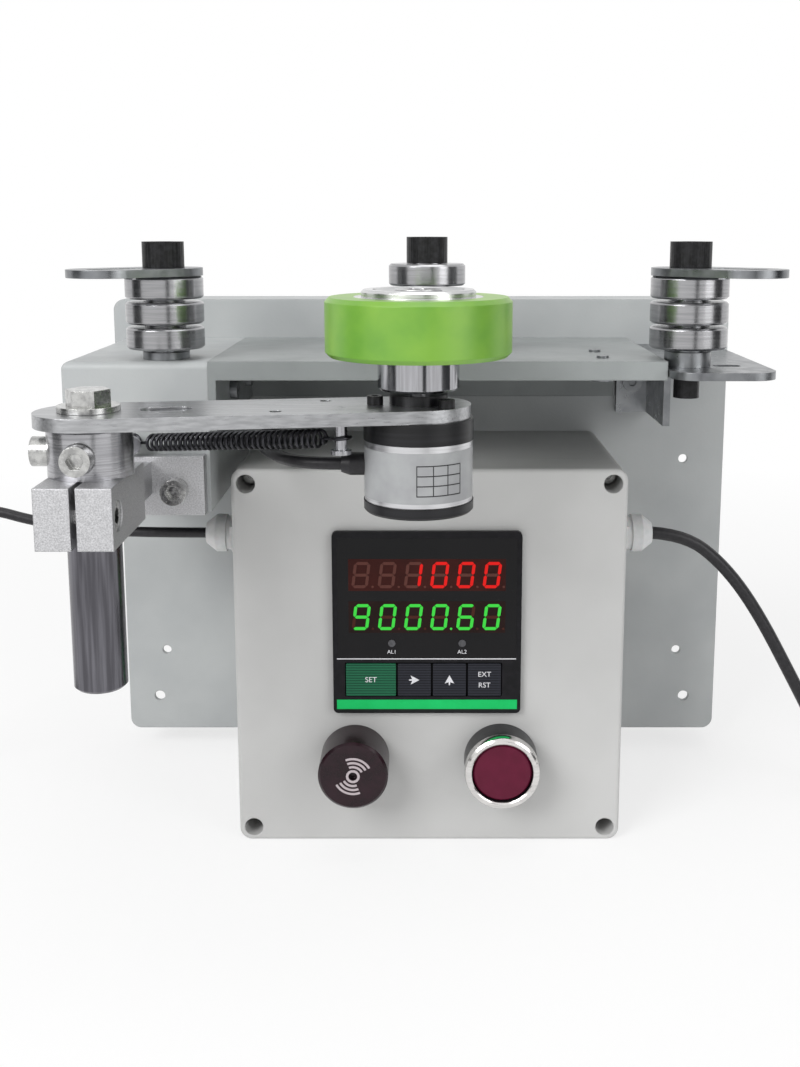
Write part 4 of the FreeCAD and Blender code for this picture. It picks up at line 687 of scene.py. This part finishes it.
# the counter's face: print, lamps, and segments lit and unlit behind their filter strips
printed_white = make("printed_white", roughness=0.4, edge=0, colour="#d4d4d8")
printed_green = make("printed_green", roughness=0.36, edge=0, colours=(12, EVEN, "#12b45c", "#18bd64"),
                     Specular_IOR_Level=0.15)
unlit_lamp = make("unlit_lamp", roughness=0.3, edge=0.2, colours=(1, EVEN, "#3a3a3d", "#4b4b4f"))
red_glow = make("lit_red_segment", roughness=0.5, edge=0, colour="#5a0c0c",
                Emission_Color=linear("#e01a16"), Emission_Strength=0.9, Specular_IOR_Level=0.1)
red_unlit = make("unlit_red_segment", roughness=0.4, edge=0, colour="#5a3630", Specular_IOR_Level=0.1)
green_glow = make("lit_green_segment", roughness=0.5, edge=0, colour="#0f4012",
                  Emission_Color=linear("#43dc48"), Emission_Strength=0.9, Specular_IOR_Level=0.1)
green_unlit = make("unlit_green_segment", roughness=0.4, edge=0, colour="#46241c",
                   Specular_IOR_Level=0.1)
red_filter = make("red_filter_strip", roughness=0.3, edge=0, colours=(14, EVEN, "#2e1310", "#3d1814"),
                  Specular_IOR_Level=0.1)
dark_filter = make("dark_filter_strip", roughness=0.3, edge=0,
                   colours=(14, EVEN, "#1e1210", "#271715"), Specular_IOR_Level=0.1)

# the wave node's scale for level lines about 1.1 mm apart
LINE_SCALE = 1 / (1.1 * MM) / 2 / math.pi * 2.0


def lined(name, low, high):
    """A membrane key printed with fine level lines."""
    material = make(name, roughness=0.4, edge=0.25, colour=low, Specular_IOR_Level=0.12)
    tree = material.node_tree
    where = add(tree, "ShaderNodeTexCoord").outputs["Object"]
    wave = add(tree, "ShaderNodeTexWave", {"Vector": where, "Scale": LINE_SCALE}, bands_direction="Z")
    colour = blend_colours(tree, wave.outputs["Fac"], low, high, 0.6, 0.9)
    tree.links.new(colour, tree.nodes["Principled BSDF"].inputs["Base Color"])
    return material


green_key = lined("lined_green_key", "#236346", "#12382a")
grey_key = lined("lined_grey_key", "#2b2c33", "#16171b")

FINISH = {
    powder_coat: ["back_panel", "left_pedestal"],
    # the shelf takes the powder coat darkened as painted shade
    shelf_painted_shade: ["guide_shelf"],
    zinc_plate: ["right_base_plate", "guide_wing_plates", "guide_spacers", "frame_screws"],
    bearing_steel: [n for n in NODES if "_roller_" in n] + ["guide_inner_rings", "guide_balls"],
    black_oxide: ["guide_screws", "encoder_screws"],
    bright_zinc: ["m6_socket_screws", "lid_screws", "pivot_bolt", "pivot_washer"],
    brushed_aluminium: ["swing_arm"],
    turned_aluminium: ["wheel_hub"],
    blasted_aluminium: ["rod_clamp"],
    turned_steel: ["pivot_hub"],
    # the rod's mirror colour is darkened as painted dark reflection
    rod_painted_dark_reflection: ["pivot_rod"],
    hard_chrome: ["wheel_collar", "encoder_shaft", "fixed_spring_post", "arm_spring_post"],
    sintered_bronze: ["pivot_bush"],
    polyurethane: ["wheel_tyre"],
    black_anodised: ["encoder_flange", "encoder_cap"],
    satin_sleeve: ["encoder_body"],
    abs_shell: ["box_base", "box_lid"],
    meter_plastic: ["meter_case"],
    window_tint: ["meter_window"],
    green_key: ["key_set"],
    grey_key: ["key_shift", "key_up", "key_reset"],
    maroon_plastic: ["buzzer"],
    dark_barrel: ["button_bezel"],
    crimson_cap: ["button_cap"],
    white_nylon: ["cable_glands"],
    pvc_sheath: ["encoder_gland", "panel_grommet", "encoder_lead", "power_lead", "power_lead_coil",
                 "output_lead", "output_lead_coil"],
    spring_wire: ["arm_spring"],
    plug_rubber: ["power_plug", "output_connector"],
}


def dress(piece, material):
    """Gives every face of a piece one material."""
    if piece.material_slots:
        for slot in piece.material_slots:
            slot.material = material
    else:
        piece.data.materials.append(material)


for material, names in FINISH.items():
    for name in names:
        dress(NODES[name], material)
        NODES[name].data.shade_smooth()
        NODES[name].data.set_sharp_from_angle(angle=math.radians(32))
for piece, material in ((power_cord, pvc_sheath), (output_cord, pvc_sheath), (encoder_cord, pvc_sheath),
                        (spring, spring_wire), (red_lit, red_glow), (red_dim, red_unlit),
                        (green_lit, green_glow), (green_dim, green_unlit), (red_strip, red_filter),
                        (green_strip, dark_filter), (lamps, unlit_lamp), (white_line, printed_white),
                        (green_bar, printed_green), (label, foil_label), (rules, label_ink),
                        (buzzer_mark, printed_grey), (button_ring, plated_ring)):
    dress(piece, material)
for piece in marks:
    dress(piece, printed_white)

# ---- floor, backdrop light and lamps

FLOOR_SIZE = 3
# the floor's own glow grows between these distances from the object, in metres
GLOW_NEAR, GLOW_FAR = 0.25, 0.8
GLOW_LOW, GLOW_HIGH = 0.68, 1.0
WORLD_LIGHT = 0.48
WHITE = (1, 1, 1, 1)


def seen_by(tree, *kinds):
    """1 for rays of the named kinds, 0 for all others."""
    path = add(tree, "ShaderNodeLightPath").outputs
    seen = path[kinds[0]]
    for kind in kinds[1:]:
        seen = add(tree, "ShaderNodeMath", {0: seen, 1: path[kind]}, operation="MAXIMUM").outputs[0]
    return seen


floor = bpy.data.objects.new("floor", mesh_of("floor", lambda shape: bmesh.ops.create_grid(
    shape, x_segments=1, y_segments=1, size=FLOOR_SIZE)))
bpy.context.scene.collection.objects.link(floor)
floor_paint = make("white_floor", roughness=0.9, edge=0, colour="#f7f7f7")
tree = floor_paint.node_tree
seen = seen_by(tree, "Is Camera Ray", "Is Glossy Ray")
where = add(tree, "ShaderNodeTexCoord").outputs["Object"]
away = add(tree, "ShaderNodeVectorMath", {0: where}, operation="LENGTH").outputs["Value"]
glow = span(tree, away, GLOW_LOW, GLOW_HIGH, GLOW_NEAR, GLOW_FAR)
share = add(tree, "ShaderNodeMath", {0: glow, 1: seen}, operation="MULTIPLY").outputs[0]
shine = add(tree, "ShaderNodeEmission", {"Color": WHITE, "Strength": 1.0}).outputs[0]
matt = tree.nodes["Principled BSDF"].outputs[0]
paint = add(tree, "ShaderNodeMixShader", {0: share, 1: matt, 2: shine}).outputs[0]
tree.links.new(paint, tree.nodes["Material Output"].inputs["Surface"])
dress(floor, floor_paint)

world = bpy.data.worlds.new("studio")
bpy.context.scene.world = world
world.use_nodes = True
tree = world.node_tree
seen = seen_by(tree, "Is Camera Ray", "Is Glossy Ray", "Is Transmission Ray")
dim = tree.nodes["Background"]
dim.inputs["Color"].default_value = WHITE
dim.inputs["Strength"].default_value = WORLD_LIGHT
white = add(tree, "ShaderNodeBackground", {"Color": WHITE, "Strength": 1.0}).outputs[0]
mixed = add(tree, "ShaderNodeMixShader", {0: seen, 1: dim.outputs[0], 2: white}).outputs[0]
tree.links.new(mixed, tree.nodes["World Output"].inputs["Surface"])

LAMPS_AIM = Vector((0, 0, 0.12))


def softbox(name, at, size, power):
    """A large soft lamp that looks at the object's middle."""
    lamp = bpy.data.objects.new(name, bpy.data.lights.new(name, "AREA"))
    lamp.data.shape = "RECTANGLE"
    lamp.data.size, lamp.data.size_y = size
    lamp.data.energy = power
    lamp.location = Vector(at)
    lamp.rotation_euler = (LAMPS_AIM - lamp.location).to_track_quat("-Z", "Y").to_euler()
    bpy.context.scene.collection.objects.link(lamp)


softbox("key_light", (-0.9, -1.1, 1.0), (0.8, 0.8), 17.5)
softbox("fill_light", (1.0, -0.9, 0.6), (0.6, 0.9), 4.6)
softbox("top_light", (0.1, -0.1, 1.3), (0.9, 0.6), 3)

CARD_THICK, CARD_FOOT = 4, 20


def dark_card(name, x, y, wide, tall):
    """A dark card outside the view, which only shiny metal sees, for contrast in round parts."""
    card = bpy.data.objects.new(name, mesh_of(name, lambda shape: prism(
        shape, rectangle(-wide / 2, wide / 2, 0, tall), 0, CARD_THICK)))
    bpy.context.scene.collection.objects.link(card)
    card.location = mm(x, y, CARD_FOOT)
    card.rotation_euler = (0, 0, math.atan2(-x, y))
    card.visible_camera = False
    card.visible_diffuse = False
    card.visible_shadow = False
    dress(card, make(name, edge=0, colour="#2c2e30"))


dark_card("left_card", -900, -250, 500, 700)
dark_card("right_card", 900, -200, 500, 700)
dark_card("front_card", 250, -950, 160, 800)
